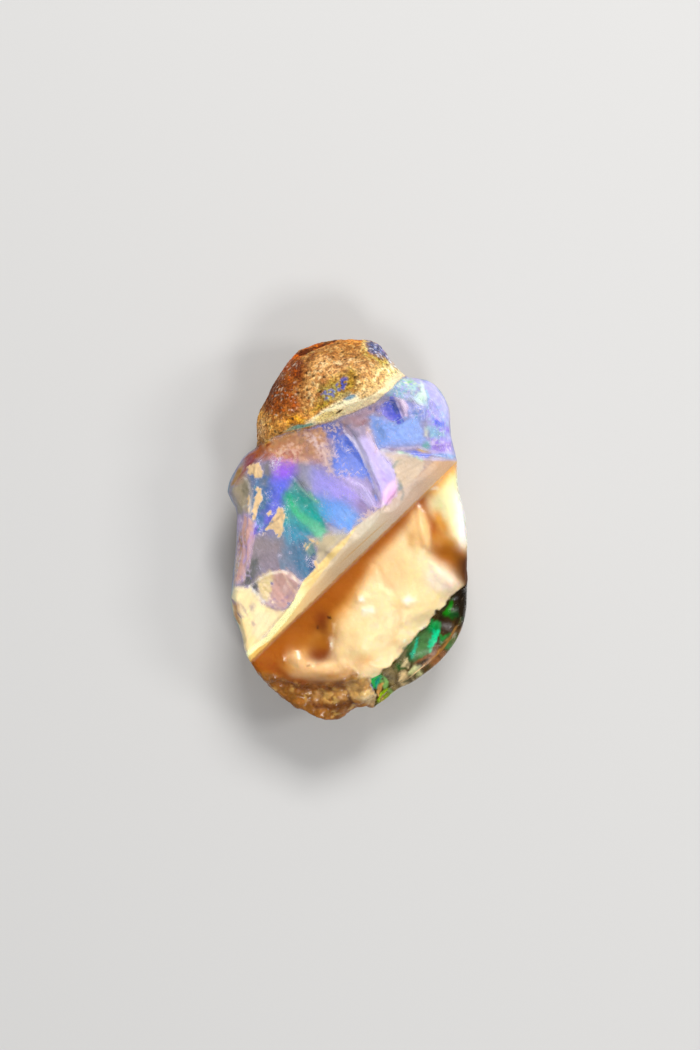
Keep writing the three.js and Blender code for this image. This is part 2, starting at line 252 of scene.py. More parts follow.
def toward(tint, colour, share):
    """Moves tint towards a colour by a share at each point."""
    goal = shade(colour) if isinstance(colour, str) else colour
    return tint + (goal - tint) * share[:, None]


# How far a patch's edge frays from its outline, and how softly it blends, over the stone.
fray = np.stack([layered(rubbed, 0.9, 11), layered(rubbed, 0.9, 21)]) * 0.8
fray += 0.5 * np.stack([noise(rubbed, 0.26, 12), noise(rubbed, 0.26, 22)])
blend = 0.45 + 1.5 * smooth(-0.6, 0.6, noise(rubbed, 1.6, 33))


def paint(tint, patches, ragged=0.1):
    """Lays patches over tint: (colours, softness, streak bearing or None, outline).

    Two colours run into each other along the bearing."""
    for colours, soft, bearing, outline in patches:
        corners = np.array(outline)
        low, high = corners.min(0) - 2 * soft - 0.6, corners.max(0) + 2 * soft + 0.6
        near = (x > low[0]) & (x < high[0]) & (y > low[1]) & (y < high[1])
        px, py = (rubbed[near, :2] + ragged * fray[:, near].T).T
        away = reach(px, py, outline)
        width = soft * blend[near]
        value = colours if isinstance(colours, tuple) else shade(colours[:7])
        value = np.tile(np.array(value, float), (len(px), 1))
        if bearing is not None:
            t = math.radians(bearing)
            turn = np.array([[math.cos(t), -math.sin(t)], [math.sin(t), math.cos(t)]])
            u, v = (rubbed[near, :2] @ turn).T
            if not isinstance(colours, tuple) and len(colours) > 7:
                line = corners @ turn[:, 0]
                value += (shade(colours[8:]) - value) * smooth(line.min(), line.max(), u)[:, None]
            level = np.zeros(len(u))
            brush = noise(np.stack([u / 4, v / 0.45, level], 1), 1.0, 31)
            brush += 0.6 * noise(np.stack([u / 1.6, v / 0.17, level], 1), 1.0, 32)
            away += 0.3 * brush
            value[:, :3] *= (1 + 0.16 * brush)[:, None]
        share = smooth(width, -width, away)[:, None]
        tint[near] += (value - tint[near]) * share
    return tint


knobs = layered(rubbed, 2.1, 40, 3)
SAND = 0.36  # size of the grains, mm
first, _, grain_no = cells(rubbed + 0.08 * noise(rubbed, 0.5, 3)[:, None], SAND, 4)
bead = np.clip(0.7 - first, -0.4, 0.6)
pits = smooth(0.5, 0.85, noise(rubbed, 0.75, 5))
crust_top = crust * smooth(-0.1, 0.6, crust_side)
relief += crust_top * (0.17 * knobs + 0.1 * bead - 0.2 * pits)
CRACK = [  # the groove under the crust's orange edge
    (-5.3, 17.3), (-4.6, 17.75), (-3.9, 18.1), (-2.8, 18.6), (-1.6, 18.85), (-2.6, 18.4),
    (-3.9, 17.8), (-4.7, 17.4),
]
relief -= 0.3 * crust_top * smooth(0.1, -0.06, reach(x, y, CRACK))

CRUST = [  # (colours, softness, streak bearing, outline)
    ("#d0a270", 1.0, None, [(-4.4, 13.2), (-3.4, 12.2), (-2, 12.6), (0, 13.8), (3, 14.6), (3, 16),
        (1, 17.4), (-1, 17.9), (-3.6, 17.2), (-4, 15)]),
    ("#b07a3e", 0.6, 20, [(-4.6, 17.3), (-2, 18.2), (0.4, 18.4), (1.6, 17.6), (0.4, 17.2),
        (-2.4, 17.2)]),
    ("#fbe8b0", 0.5, 35, [(2.8, 15.6), (3.4, 16.5), (4.4, 16.7), (6.2, 15.6), (4.8, 14.8),
        (3.4, 15.4)]),
    ("#e8c58e", 0.6, 20, [(1.2, 14.4), (2.6, 15.2), (4.6, 15), (3.4, 13.9), (1.6, 13.6)]),
    ("#dca45a", 0.6, 20, [(-9.4, 9), (-9.4, 12.4), (-7, 11.4), (-4.4, 11.2), (-2.6, 12.3),
        (-2.4, 12), (-4.2, 10.5)]),
    ("#e2b284", 0.4, None, [(-9.4, 9.2), (-9.2, 10.8), (-8.4, 10.8), (-8.0, 9.6), (-8.8, 8.8)]),
    ("#d3932c", 0.3, 20, [(-6, 11.2), (-4.4, 11.2), (-4.2, 10.6), (-5.8, 10.5)]),
    ("#8a4a18", 0.8, None, [(-8.8, 12.4), (-8.1, 14.4), (-7.0, 16.4), (-5.8, 17.6), (-4.6, 17.4),
        (-4.2, 16.2), (-4.6, 14.4), (-4.6, 12.8), (-5.2, 11.4), (-7.6, 11.2)]),
    ("#6a330f", 0.4, None, [(-8.3, 13), (-7.9, 14.2), (-6.9, 15.6), (-6.4, 15.2), (-6.6, 14),
        (-7, 12.8)]),
    ("#7d3a10", 0.35, None, [(-5.8, 16.2), (-4.8, 17), (-4.2, 16.2), (-4.6, 15.2), (-5.2, 15.2)]),
    ("#8c3508", 0.3, None, [(-5.6, 12.9), (-5.1, 13.1), (-4.9, 12.2), (-5.4, 11.8)]),
    ("#b04a08", 0.3, 40, [(-7.0, 16.2), (-6.0, 17.6), (-5.2, 18.2), (-4.8, 17.6), (-5.6, 16.9),
        (-6.3, 15.9)]),
    ("#f07a10", 0.25, 25, [(-5.8, 17.6), (-4.4, 18.5), (-2.9, 19.1), (-1.7, 19.4), (-1.3, 18.8),
        (-3.2, 18.3), (-4.2, 17.8), (-5.4, 17.1)]),
    ("#e09240", 0.3, 8, [(-1.9, 19.3), (0, 19.5), (1.9, 19.4), (1.9, 18.5), (0.4, 18.5),
        (-0.8, 18.6)]),
    # Painted shadow: a dark streak along the groove under the orange edge.
    ("#6a300a", 0.14, 22, [(-5.0, 17.7), (-3.9, 18.3), (-2.6, 18.8), (-1.4, 18.95), (-2.6, 18.5),
        (-3.9, 17.9), (-4.7, 17.5)]),
    ("#a98a30", 0.45, 40, [(-3.6, 11.6), (-2.5, 12.6), (-2.6, 14.2), (-1.6, 15), (-0.4, 15.5),
        (0.4, 16), (1, 15.4), (0.9, 14.2), (0, 13.7), (-1.2, 12.9), (-2.2, 11.9)]),
    ("#a0914e", 0.3, 40, [(-2.5, 14.3), (-1.4, 14.6), (-0.8, 14), (-1, 13), (-2.3, 12.5)]),
    ("#b8a43a", 0.3, -45, [(1.7, 18), (2.1, 17.4), (3, 17), (4.1, 16.6), (3.6, 16.4), (2.4, 17),
        (1.7, 17.4)]),
    ("#f0d490", 0.2, 80, [(1.5, 18.9), (1.95, 19.2), (2, 17.6), (1.7, 17.6)]),
    ("#6c70a0", 0.25, -50, [(2, 19.4), (3, 19.6), (4.2, 17.8), (4.0, 17.0), (3.4, 17.1),
        (2.7, 17.5), (2.1, 17.7)]),
    ("#b0a8fa", 0.14, -50, [(2.4, 19.7), (3.0, 18.7), (3.9, 17.6), (5.4, 16.2), (5.8, 16.6),
        (4.2, 19)]),
    ("#f0ecf4", 0.25, -42, [(4.0, 17.3), (4.4, 17.2), (5.9, 15.9), (5.6, 15.7), (4.6, 16.5)]),
]
sandy = np.tile(shade("#b6874f"), (count, 1))
sandy = paint(sandy, CRUST, 0.3)
low_sand = np.tile(shade("#b08048"), (count, 1))
low_sand = toward(low_sand, "#9a4a14", smooth(0.0, 0.5, layered(rubbed, 2.2, 99, 3)))
sandy = toward(sandy, low_sand, smooth(8.0, 6.8, z + 0.7 * noise(rubbed, 1.2, 94)))
rusty = smooth(0.1, 0.7, layered(rubbed, 1.0, 91, 3)) * smooth(3, -4, x) * smooth(10.2, 12, y)
sandy = toward(sandy, "#8c4c1a", 0.65 * rusty)
GRAIN_TONES = [shade(c) for c in ("#efdcb8", "#dcb584", "#c08a4c", "#9a6430", "#8a5530", "#ddb47c")]
grain_tone = np.array(GRAIN_TONES)[grain_no % len(GRAIN_TONES)] / np.mean(GRAIN_TONES, axis=0)
sandy *= 0.5 + 0.5 * grain_tone
sandy *= (1.0 + 0.16 * noise(rubbed, 0.5, 92) + 0.1 * noise(rubbed, 0.25, 93))[:, None]
sandy *= (1 - 0.45 * pits * (crust_side > 0.5))[:, None]
dark = (grain_no % 19 == 0) * smooth(0.65, 0.35, first)
sandy = toward(sandy, "#2f1a0c", 0.85 * dark)
sandy *= 1 - (1 - np.array([1.02, 0.94, 0.7])) * (0.6 + 0.4 * smooth(0, -6, x))[:, None]
QUARTZ = [  # sugary pale grains and orange ones, among the rusty sand
    (-7.9, 10.8), (-6.2, 11), (-5.0, 12), (-5.2, 14), (-4.9, 16.6), (-5.6, 17), (-6.9, 15.4),
    (-7.6, 13.2),
]
sugary = smooth(0.2, 0.6, noise(rubbed, 0.26, 96) + 0.6 * noise(rubbed, 0.9, 97))
sugary *= smooth(0.4, -0.4, reach(x, y, QUARTZ))
sandy = toward(sandy, "#d8bca4", 0.7 * sugary)
orange = smooth(0.3, -0.3, reach(x, y, QUARTZ)) * smooth(0.3, 0.6, noise(rubbed, 0.4, 98))
sandy = toward(sandy, "#c05a10", 0.8 * orange)
STAIN = [  # (colours, softness, streak bearing, outline)
    ("#4f58b2", 0.14, 50, [(-1.2, 14.3), (-0.5, 15), (-0.1, 15), (-0.2, 14.3), (-0.5, 13.8),
        (-0.8, 13.9)]),
    ("#6f74a8", 0.2, 50, [(-2.3, 13.6), (-1.6, 14), (-1.2, 13.7), (-1.4, 13.2), (-1.9, 12.8),
        (-2.3, 12.9)]),
]
stained = paint(sandy.copy(), STAIN, 0.25)
sandy += (stained - sandy) * smooth(-0.3, 0.15, noise(rubbed, 0.32, 95))[:, None]
# A corner of bluish opal shows through at the crust's right end.
CORNER = [(1.95, 19.4), (3, 19.6), (4.4, 17.5), (3.8, 16.9), (2.7, 17.3), (2.05, 17.7)]
specks = smooth(0.05, 0.35, noise(rubbed, 0.27, 99)) * smooth(0.1, -0.15, reach(x, y, CORNER))
sandy = toward(sandy, "#2c4478", 0.7 * specks)
bright = smooth(0.15, 0.45, noise(rubbed, 0.3, 100)) * smooth(0.1, -0.15, reach(x, y, CORNER))
sandy = toward(sandy, "#eceaf6", 0.6 * bright)
CREAM_SEAM = [  # (colours, softness, streak bearing, outline)
    ("#ffe6b4", 0.22, 26, [(-4.6, 10.4), (-3.3, 10.2), (-1.5, 10.8), (0.4, 11.5), (2.3, 12.2),
        (3.4, 13), (4.3, 13.8), (5.6, 15.1), (6.4, 16), (5.6, 16.1), (4.2, 15), (2.8, 14),
        (1, 13.2), (-1, 12.5), (-2.6, 11.8)]),
    ("#f0d48c", 0.14, 26, [(-3.2, 10.9), (-1.8, 11.4), (-0.2, 11.9), (-0.4, 11.6), (-1.8, 11.0),
        (-3, 10.6)]),
    ("#fff2c8", 0.14, 24, [(-2.4, 11.5), (-1.2, 11.9), (0.6, 12.6), (3.2, 13.5), (4.7, 14.9),
        (3.2, 13.9), (0.6, 13), (-1.2, 12.3), (-2.4, 11.8)]),
    ("#dcb478", 0.16, 24, [(1.2, 13.3), (2.4, 13.95), (3.6, 14.6), (3.8, 14.2), (2.6, 13.35),
        (1.4, 12.9)]),
    ("#9c8f6a", 0.1, 24, [(-3.9, 11.15), (-2.4, 11.9), (-0.9, 12.4), (-0.5, 12.5), (-2.4, 11.7)]),
    ("#7f9aa8", 0.12, 24, [(-0.3, 12.9), (0.2, 13.25), (0.6, 13.25), (0.3, 12.95)]),
    ("#f2d488", 0.2, 24, [(-3.6, 10.8), (-2.4, 11.5), (-1.0, 12.0), (-1.0, 11.3), (-2.4, 10.7)]),
    ("#b0985c", 0.16, 24, [(-1.5, 12.9), (-0.5, 13.5), (0.1, 13.6), (-0.3, 13.2), (-1.1, 12.75)]),
    ("#86ae98", 0.1, 20, [(-6.4, 9.8), (-5.2, 10.25), (-3.6, 10.6), (-2.8, 10.5), (-5, 10.12)]),
    ("#4c3210", 0.06, 30, [(-1.0, 11.55), (-0.75, 11.85), (-0.45, 11.95), (-0.7, 11.6)]),
]
sandy = paint(sandy, CREAM_SEAM, 0.07)


def new_finish(name, **values):
    """A material with its shader's plain values set, and its node tree's parts."""
    m = bpy.data.materials.new(name)
    m.use_nodes = True
    bsdf = m.node_tree.nodes["Principled BSDF"]
    for key, value in values.items():
        bsdf.inputs[key.replace("_", " ")].default_value = value
    return m, m.node_tree.nodes, m.node_tree.links, bsdf


def node(nodes, kind, **values):
    """A new shader node, with values for its settings and its sockets."""
    n = nodes.new("ShaderNode" + kind)
    for key, value in values.items():
        if key in n.bl_rna.properties:
            setattr(n, key, value)
        else:
            n.inputs[key.replace("_", " ")].default_value = value
    return n


def grainy(m, scale, low, high, detail=6, seed=0.0, stretch=None):
    """Noise in millimetres of the stone's own space, spread from low to high."""
    nodes, links = m.node_tree.nodes, m.node_tree.links
    place = nodes.get("place") or node(nodes, "TexCoord", name="place")
    n = node(nodes, "TexNoise", noise_dimensions="4D", W=seed, Detail=detail)
    n.inputs["Scale"].default_value = 1 / (scale * MM)
    links.new(place.outputs["Object"], n.inputs["Vector"])
    if stretch:
        laid = node(nodes, "Mapping", vector_type="TEXTURE")
        laid.inputs["Rotation"].default_value = (0, 0, math.radians(stretch[0]))
        laid.inputs["Scale"].default_value = (stretch[1], 1, 1)
        links.new(place.outputs["Object"], laid.inputs["Vector"])
        links.new(laid.outputs["Vector"], n.inputs["Vector"])
    spread = node(nodes, "MapRange", From_Min=0.3, From_Max=0.7, To_Min=low, To_Max=high)
    links.new(n.outputs["Fac"], spread.inputs["Value"])
    return spread.outputs["Result"]


def tinted(m, bsdf, factor):
    """Base colour from the mesh's colour layer times a grainy factor."""
    nodes, links = m.node_tree.nodes, m.node_tree.links
    colour = node(nodes, "Attribute", attribute_name="tint")
    scaled = node(nodes, "VectorMath", operation="SCALE")
    links.new(colour.outputs["Color"], scaled.inputs[0])
    links.new(factor, scaled.inputs["Scale"])
    links.new(scaled.outputs["Vector"], bsdf.inputs["Base Color"])
    return scaled.outputs["Vector"]


def channel(m, name):
    """One channel of the mesh's colour layer."""
    nodes, links = m.node_tree.nodes, m.node_tree.links
    colour = node(nodes, "Attribute", attribute_name="tint")
    parts = node(nodes, "SeparateColor")
    links.new(colour.outputs["Color"], parts.inputs["Color"])
    return parts.outputs[name]


def bumped(m, bsdf, height, distance):
    """Fine bumps of up to distance, mm, from a height that runs from 0 to 1."""
    nodes, links = m.node_tree.nodes, m.node_tree.links
    b = node(nodes, "Bump", Strength=1.0, Distance=distance * MM)
    links.new(height, b.inputs["Height"])
    links.new(b.outputs["Normal"], bsdf.inputs["Normal"])


crust_finish, nodes, links, bsdf = new_finish(
    "sandy crust", Subsurface_Weight=0.15, Subsurface_Radius=(0.6, 0.35, 0.18),
    Subsurface_Scale=0.5 * MM, Specular_IOR_Level=0.14,
)
# The pale seam is calmer than the sand: its grain is a quarter as strong.
calm = node(nodes, "MapRange", From_Min=0.3, From_Max=0.48, To_Min=1.0, To_Max=0.25)
links.new(channel(crust_finish, "Blue"), calm.inputs["Value"])
grain = node(nodes, "Math", operation="MULTIPLY_ADD")
links.new(grainy(crust_finish, 0.2, -0.62, 0.66), grain.inputs[0])
links.new(calm.outputs["Result"], grain.inputs[1])
grain.inputs[2].default_value = 1.0
tinted(crust_finish, bsdf, grain.outputs["Value"])
links.new(grainy(crust_finish, 0.3, 0.45, 0.9, seed=2), bsdf.inputs["Roughness"])
bumped(crust_finish, bsdf, grainy(crust_finish, 0.14, 0, 1, seed=3), 0.07)

# ---- Potch ledge ----
# Common opal below the step: once a gel, so it is lumpy, creamy and wet-looking, with no
# play of colour. Along the wall and in the hollow it is caramel, partly thin clear potch and partly
# painted shade.

swell = layered(rubbed, 1.9, 50, 3, 0.42)
foot = past - WALL_FOOT
HOLLOW = [(-9, -12.6), (-5, -9.4), (-2.2, -8.6), (-1.9, -12.8), (-4.6, -13), (-8, -13.4)]
hollow = smooth(0.6, -0.6, reach(x, y, HOLLOW))
relief += potch * 0.12 * swell * (1 - 0.85 * np.maximum(hollow, smooth(3, 1.5, foot)))
PADS = [  # soft raised lips and knobs: (height, softness, outline)
    (0.22, 0.5, [(-1.6, -8.6), (-0.6, -7.8), (0.4, -8.4), (0.2, -11.6), (-0.8, -13.2),
        (-1.6, -12.4), (-1.3, -10.4)]),
    (0.2, 0.35, [(0.9, -6.4), (1.6, -6.2), (2.2, -6.8), (1.6, -7.4), (0.9, -7.2)]),
    (0.14, 0.35, [(1.4, -7.8), (2.4, -7.8), (2.6, -8.3), (1.6, -8.4)]),
    (0.2, 0.4, [(5.4, -7), (6.4, -6.7), (6.8, -7.2), (6, -7.8), (5.4, -7.6)]),
    (0.25, 0.5, [(8.4, -3.4), (9.6, -3.7), (11, -5.2), (10.4, -5.8), (9, -4.8)]),
    (0.25, 0.3, [(6.9, 2.4), (7.8, 1.6), (7.9, 0.8), (8.3, -0.4), (8.2, -1.9), (7.6, -1.6),
        (7.2, -0.2), (7, 1)]),
    (0.4, 0.5, [(-5.5, -12.1), (-4.9, -12.3), (-4.5, -13.1), (-4.9, -13.5), (-5.6, -13)]),
    (0.15, 0.3, [(-6.4, -12.7), (-6.0, -12.8), (-6.2, -13.4), (-6.6, -13.2)]),
    (-0.12, 0.6, [(4.8, -8.2), (5.2, -8.2), (5.4, -10.4), (4.8, -12), (4.4, -11.8),
        (4.9, -10.2)]),
    (-0.12, 0.4, [(2.6, -3.4), (3.2, -3.6), (4.0, -5.4), (5.2, -6.2), (4.8, -6.6), (3.4, -5.8)]),
]
for lift, soft, outline in PADS:
    relief += potch * lift * smooth(soft, -soft, reach(x, y, outline))

STRIP = (  # (along the wall, width of the caramel strip at its foot: clear potch and painted shade of the wall)
    (-16, 3.8), (-11, 3.3), (-8, 3.7), (-5, 2.8), (-2, 2.0), (0, 1.4), (1, 1.25), (4, 0.95),
    (6.5, 0.5), (8, 0.3), (12, 0.2),
)
# clear: the caramel strip along the wall's foot, partly clear potch and partly painted shade.
strip = np.interp(along, *zip(*STRIP)) + 0.35 * layered(rubbed, 2.2, 81, 2)
clear = smooth(0.9, -0.9, foot - strip)
creamy = np.tile(shade("#fbdfad"), (count, 1))
creamy *= (1 + 0.05 * layered(rubbed, 1.4, 80))[:, None]
POTCH = [  # (colours, softness, streak bearing, outline)
    ("#f8d69e", 1.1, None, [(-1.2, -9.2), (0.4, -8.4), (1.4, -10), (1.2, -13), (-0.4, -14.4),
        (-1.4, -13), (-1.3, -11)]),
    ("#f7e2cc", 0.9, None, [(7.6, -3.2), (9.6, -3.6), (11.2, -5.2), (10.6, -6.2), (8.8, -6.2),
        (7.4, -5)]),
    ("#f3cd98", 0.9, None, [(2.4, -2.6), (5.2, -1.4), (7, -3), (6.4, -5.4), (4.2, -6),
        (2.6, -4.8)]),
    ("#f5cf98", 0.5, 70, [(4.6, -5.6), (5.4, -6), (5.6, -9), (5, -12), (4.4, -11.6), (5, -9)]),
    ("#fbd8a0", 0.8, None, [(5.8, -3.4), (7.6, -3.8), (8.0, -5.2), (7.4, -6.4), (5.8, -5.6)]),
    ("#f9dba6", 0.9, None, [(6.6, -6), (8.4, -5.8), (9.6, -6.6), (8.6, -8), (7.4, -9.2),
        (6.4, -8.4)]),
    ("#f1bf80", 0.5, None, [(1, -12.4), (2.4, -12.6), (2.6, -13.6), (1, -14)]),
    # The caramel hollow, partly clear potch and partly painted shade.
    ("#a2540a", 0.9, None, [(-9.6, -12.8), (-6.2, -9.9), (-3, -7.2), (-1.4, -8.4), (-1.5, -10.6),
        (-1.4, -12.2), (-2.6, -13.2), (-4.2, -13.4), (-4.4, -12), (-6, -11.9), (-6.8, -12.8),
        (-8.4, -13.4)]),
]
creamy = paint(creamy, POTCH, 0.15)
# Towards the wall's foot the cream turns caramel, darkest nearest it: partly clear potch, partly
# painted shade of the wall.
creamy = toward(creamy, "#d8963a", clear)
creamy = toward(creamy, "#a65804", smooth(0.9, -0.3, foot - 0.62 * strip))
DEEPS = [  # (colours, softness, streak bearing, outline)
    # The hollow, the cream lip and the brown below it: the dark caramel and the brown are partly
    # painted shade.
    ("#762a00", 0.5, None, [(-3, -8.4), (-2.1, -8.4), (-1.9, -10.4), (-2.2, -10.8), (-2.9, -10)]),
    ("#a4600e", 0.6, None, [(-5.2, -10.8), (-3.2, -10.6), (-1.8, -10.8), (-1.7, -11.8),
        (-3.0, -12.2), (-5.6, -11.9)]),
    ("#823800", 0.3, None, [(-3.6, -12.0), (-1.8, -12.1), (-1.8, -13.2), (-3.2, -13.3),
        (-4.1, -12.8)]),
    ("#c08038", 0.5, None, [(-6.9, -13), (-5.6, -13.8), (-3.6, -14.1), (-1.4, -14.2),
        (0.4, -13.6), (0.4, -14.6), (-0.8, -15.2), (-3.4, -15.0), (-6, -14.2)]),
    ("#a05208", 0.3, None, [(-5.4, -14.6), (-3.4, -15.1), (-1.2, -15.3), (-1.2, -15.6),
        (-3.4, -15.6), (-5.4, -15.2)]),
    ("#efc48c", 0.45, None, [(-6.2, -12.6), (-5.6, -12.2), (-4.8, -12.3), (-4.4, -13.3),
        (-3.4, -13.6), (-1.6, -13.4), (-1.0, -13.6), (-1.4, -14.2), (-3.4, -14.3),
        (-5.4, -13.8)]),
    ("#964600", 0.5, None, [(-8.6, -13.4), (-6.8, -13.6), (-5.4, -14.9), (-3.4, -15.5),
        (-1.2, -15.4), (-3, -16.2), (-6, -15.8)]),
    ("#6c2f0a", 0.16, None, [(-3.4, -15.3), (-1.2, -15.45), (-0.1, -14.9), (0.2, -15.1),
        (-1.2, -15.7), (-3, -15.6)]),
    # The right end: an orange band beside the ridge, a brown smear, and a valley darkening to the
    # edge; the band and the valley are partly painted shade.
    ("#a04c00", 0.35, -60, [(6.5, 2.6), (7.5, 3.4), (8.0, 2.9), (8.2, 1.9), (8.9, 0.9),
        (9.7, -0.2), (9.9, -0.9), (9.2, -1.2), (8.3, -0.8), (8.1, 0.2), (7.7, 1.2), (7.3, 2.2)]),
    ("#f0b04c", 0.4, -60, [(8.6, 2.0), (9.4, 2.0), (10.4, 0.2), (10.2, -0.6), (9.4, -0.2),
        (8.8, 1)]),
    ("#cc8a30", 0.4, None, [(8.4, -0.3), (9.6, -0.5), (10.8, -0.9), (12.2, -1.2), (12.2, -1.9),
        (9.4, -1.7), (8.3, -1.3)]),
    ("#a8620e", 0.4, None, [(8.15, -0.9), (9.4, -1.3), (10.6, -1.6), (12.4, -1.9), (12.4, -6.2),
        (11.5, -5.5), (10.6, -4.4), (9.7, -3.5), (8.9, -3.0), (8.15, -2.3)]),
    ("#4a2204", 0.6, None, [(11.0, -2.9), (12.5, -2.4), (12.5, -6.6), (11.7, -5.9),
        (11.0, -4.7)]),
    ("#ecc488", 0.25, None, [(6.5, 1.5), (7.2, 2.2), (7.8, 1.4), (8.1, 0.2), (8.2, -1.6),
        (7.2, -2.2), (6.4, -0.8)]),
    ("#e0a24c", 0.25, 75, [(6.2, -0.4), (6.6, -0.2), (6.5, -1.8), (6.1, -1.6)]),
    ("#fff2bc", 0.5, -70, [(8.4, 4.0), (11.2, 6.9), (11.8, 4), (12.4, 0), (12.2, -2),
        (10.9, -0.9), (10, 0.8), (9.1, 1.8), (8.5, 2.6)]),
    # Painted highlight: a white band along the edge of the right slope.
    ("#fffffa", 0.5, -75, [(11, 3.6), (11.8, 3), (12.2, -0.8), (11.4, -1.6), (11, 0.6)]),
    ("#f0a63a", 0.35, 44, [(8, 3.6), (9.6, 5.4), (11.4, 7.2), (11.4, 6.4), (10.2, 5.1),
        (8.8, 3.4)]),
]
creamy = paint(creamy, DEEPS, 0.12)
cream_flank = np.tile(shade("#f2d8aa"), (count, 1))
cream_flank = toward(cream_flank, "#c88c44", 0.8 * smooth(0.0, 0.6, layered(rubbed, 2.6, 83, 3)))
creamy = toward(creamy, cream_flank, smooth(7.2, 6.0, z + 0.6 * noise(rubbed, 1.2, 82)))
creamy = relax(creamy, 20)
# Dark specks are small pits in the potch. The pale spots are painted highlights: wet glints fixed
# on the lumps, the knobs and the wall's foot.
PITS_AND_PAINTED_GLINTS = [  # (colours, softness, streak bearing, outline)
    ("#4a1d0c", 0.07, None, [(-1.98, -8.72), (-1.68, -8.68), (-1.62, -8.92), (-1.88, -9.02)]),
    ("#4a2812", 0.07, None, [(-3.12, -9.78), (-2.88, -9.7), (-2.86, -9.92), (-3.05, -9.98)]),
    ("#7a4a1c", 0.08, None, [(-4.1, -13.6), (-3.7, -13.55), (-3.7, -13.7), (-4.05, -13.75)]),
    ("#f6d8b4", 0.25, None, [(-1.75, -10.9), (-1.35, -10.8), (-1.3, -12.0), (-1.6, -12.1)]),
    ("#fff4e4", 0.1, None, [(-1.7, -11.4), (-1.5, -11.4), (-1.5, -11.75), (-1.65, -11.75)]),
    ("#f0c894", 0.25, None, [(-1.5, -9.4), (-1.15, -9.3), (-1.1, -10.2), (-1.4, -10.3)]),
    ("#fff2e0", 0.12, None, [(-5.2, -12.2), (-4.95, -12.15), (-4.75, -12.7), (-4.75, -13.1),
        (-5.0, -12.95), (-5.1, -12.5)]),
    ("#f4dcc0", 0.16, None, [(-6.35, -12.7), (-6.15, -12.75), (-6.2, -13.2), (-6.4, -13.1)]),
    ("#fffdf0", 0.2, None, [(1.2, -6.8), (1.7, -6.65), (1.8, -7.1), (1.3, -7.2)]),
    ("#fffaea", 0.35, None, [(1.5, -7.9), (2.5, -7.9), (2.6, -8.3), (1.6, -8.35)]),
    ("#fffdf4", 0.25, None, [(5.5, -7.1), (6.1, -6.8), (6.5, -7.1), (6.0, -7.4)]),
    ("#fffdf4", 0.12, None, [(5.65, -11.0), (5.8, -11.0), (5.75, -11.3), (5.6, -11.25)]),
    ("#fffaf0", 0.25, None, [(7.3, -10.4), (7.7, -10.2), (7.9, -9.7), (7.5, -9.9)]),
    ("#fff4e4", 0.1, None, [(6.95, 2.4), (7.2, 2.45), (7.3, 2.2), (7.05, 2.15)]),
    ("#fff0dc", 0.08, None, [(7.3, 2.1), (7.5, 2.0), (7.65, 1.7), (7.45, 1.75)]),
    ("#fff6ea", 0.1, None, [(8.55, 4.85), (8.8, 4.9), (8.8, 4.6), (8.55, 4.6)]),
    ("#fff0dc", 0.12, None, [(8.1, 4.2), (8.9, 4.3), (9.0, 4.1), (8.2, 4.0)]),
]
creamy = paint(creamy, PITS_AND_PAINTED_GLINTS, 0.1)
potch_finish, nodes, links, bsdf = new_finish(
    "wet potch", Subsurface_Weight=0.75, Subsurface_Radius=(1.0, 0.55, 0.2),
    Subsurface_Scale=0.6 * MM, IOR=1.45, Specular_IOR_Level=0.36,
    Specular_Tint=(1.0, 0.82, 0.58, 1),
)
tinted(potch_finish, bsdf, grainy(potch_finish, 1.0, 0.96, 1.04))
# The dark caramel is less wet than the cream.
duller = node(nodes, "MapRange", From_Min=0.12, From_Max=0.5, To_Min=0.45, To_Max=0.0)
links.new(channel(potch_finish, "Green"), duller.inputs["Value"])
gloss = node(nodes, "Math", operation="ADD")
links.new(duller.outputs["Result"], gloss.inputs[0])
links.new(grainy(potch_finish, 0.9, 0.14, 0.34, seed=4), gloss.inputs[1])
links.new(gloss.outputs["Value"], bsdf.inputs["Roughness"])
bumped(potch_finish, bsdf, grainy(potch_finish, 0.7, 0, 1, seed=5), 0.03)

# ---- Crystalline rim and old underside ----
# Below the potch the stone ends in coarse opalised grains, brown and half clear. The
# underside is an old dull break, weathered, with iron in its cracks.

COARSE = 1.0  # size of the rim's grains, mm
wavy = rubbed * (0.8, 1.1, 1) + np.column_stack([0.3 * fray.T, np.zeros(count)])
coarse, next_coarse, _ = cells(wavy, COARSE, 6)
gaps = smooth(0.22, 0.0, next_coarse - coarse + 0.3 * noise(rubbed, 0.5, 64))
relief += rim * (0.2 * (0.6 - coarse) + 0.2 * layered(rubbed, 1.7, 61, 2) - 0.03 * gaps)
relief += under * 0.22 * layered(rubbed, 1.7, 63, 4, 0.55) * smooth(0.0, 1.2, z)

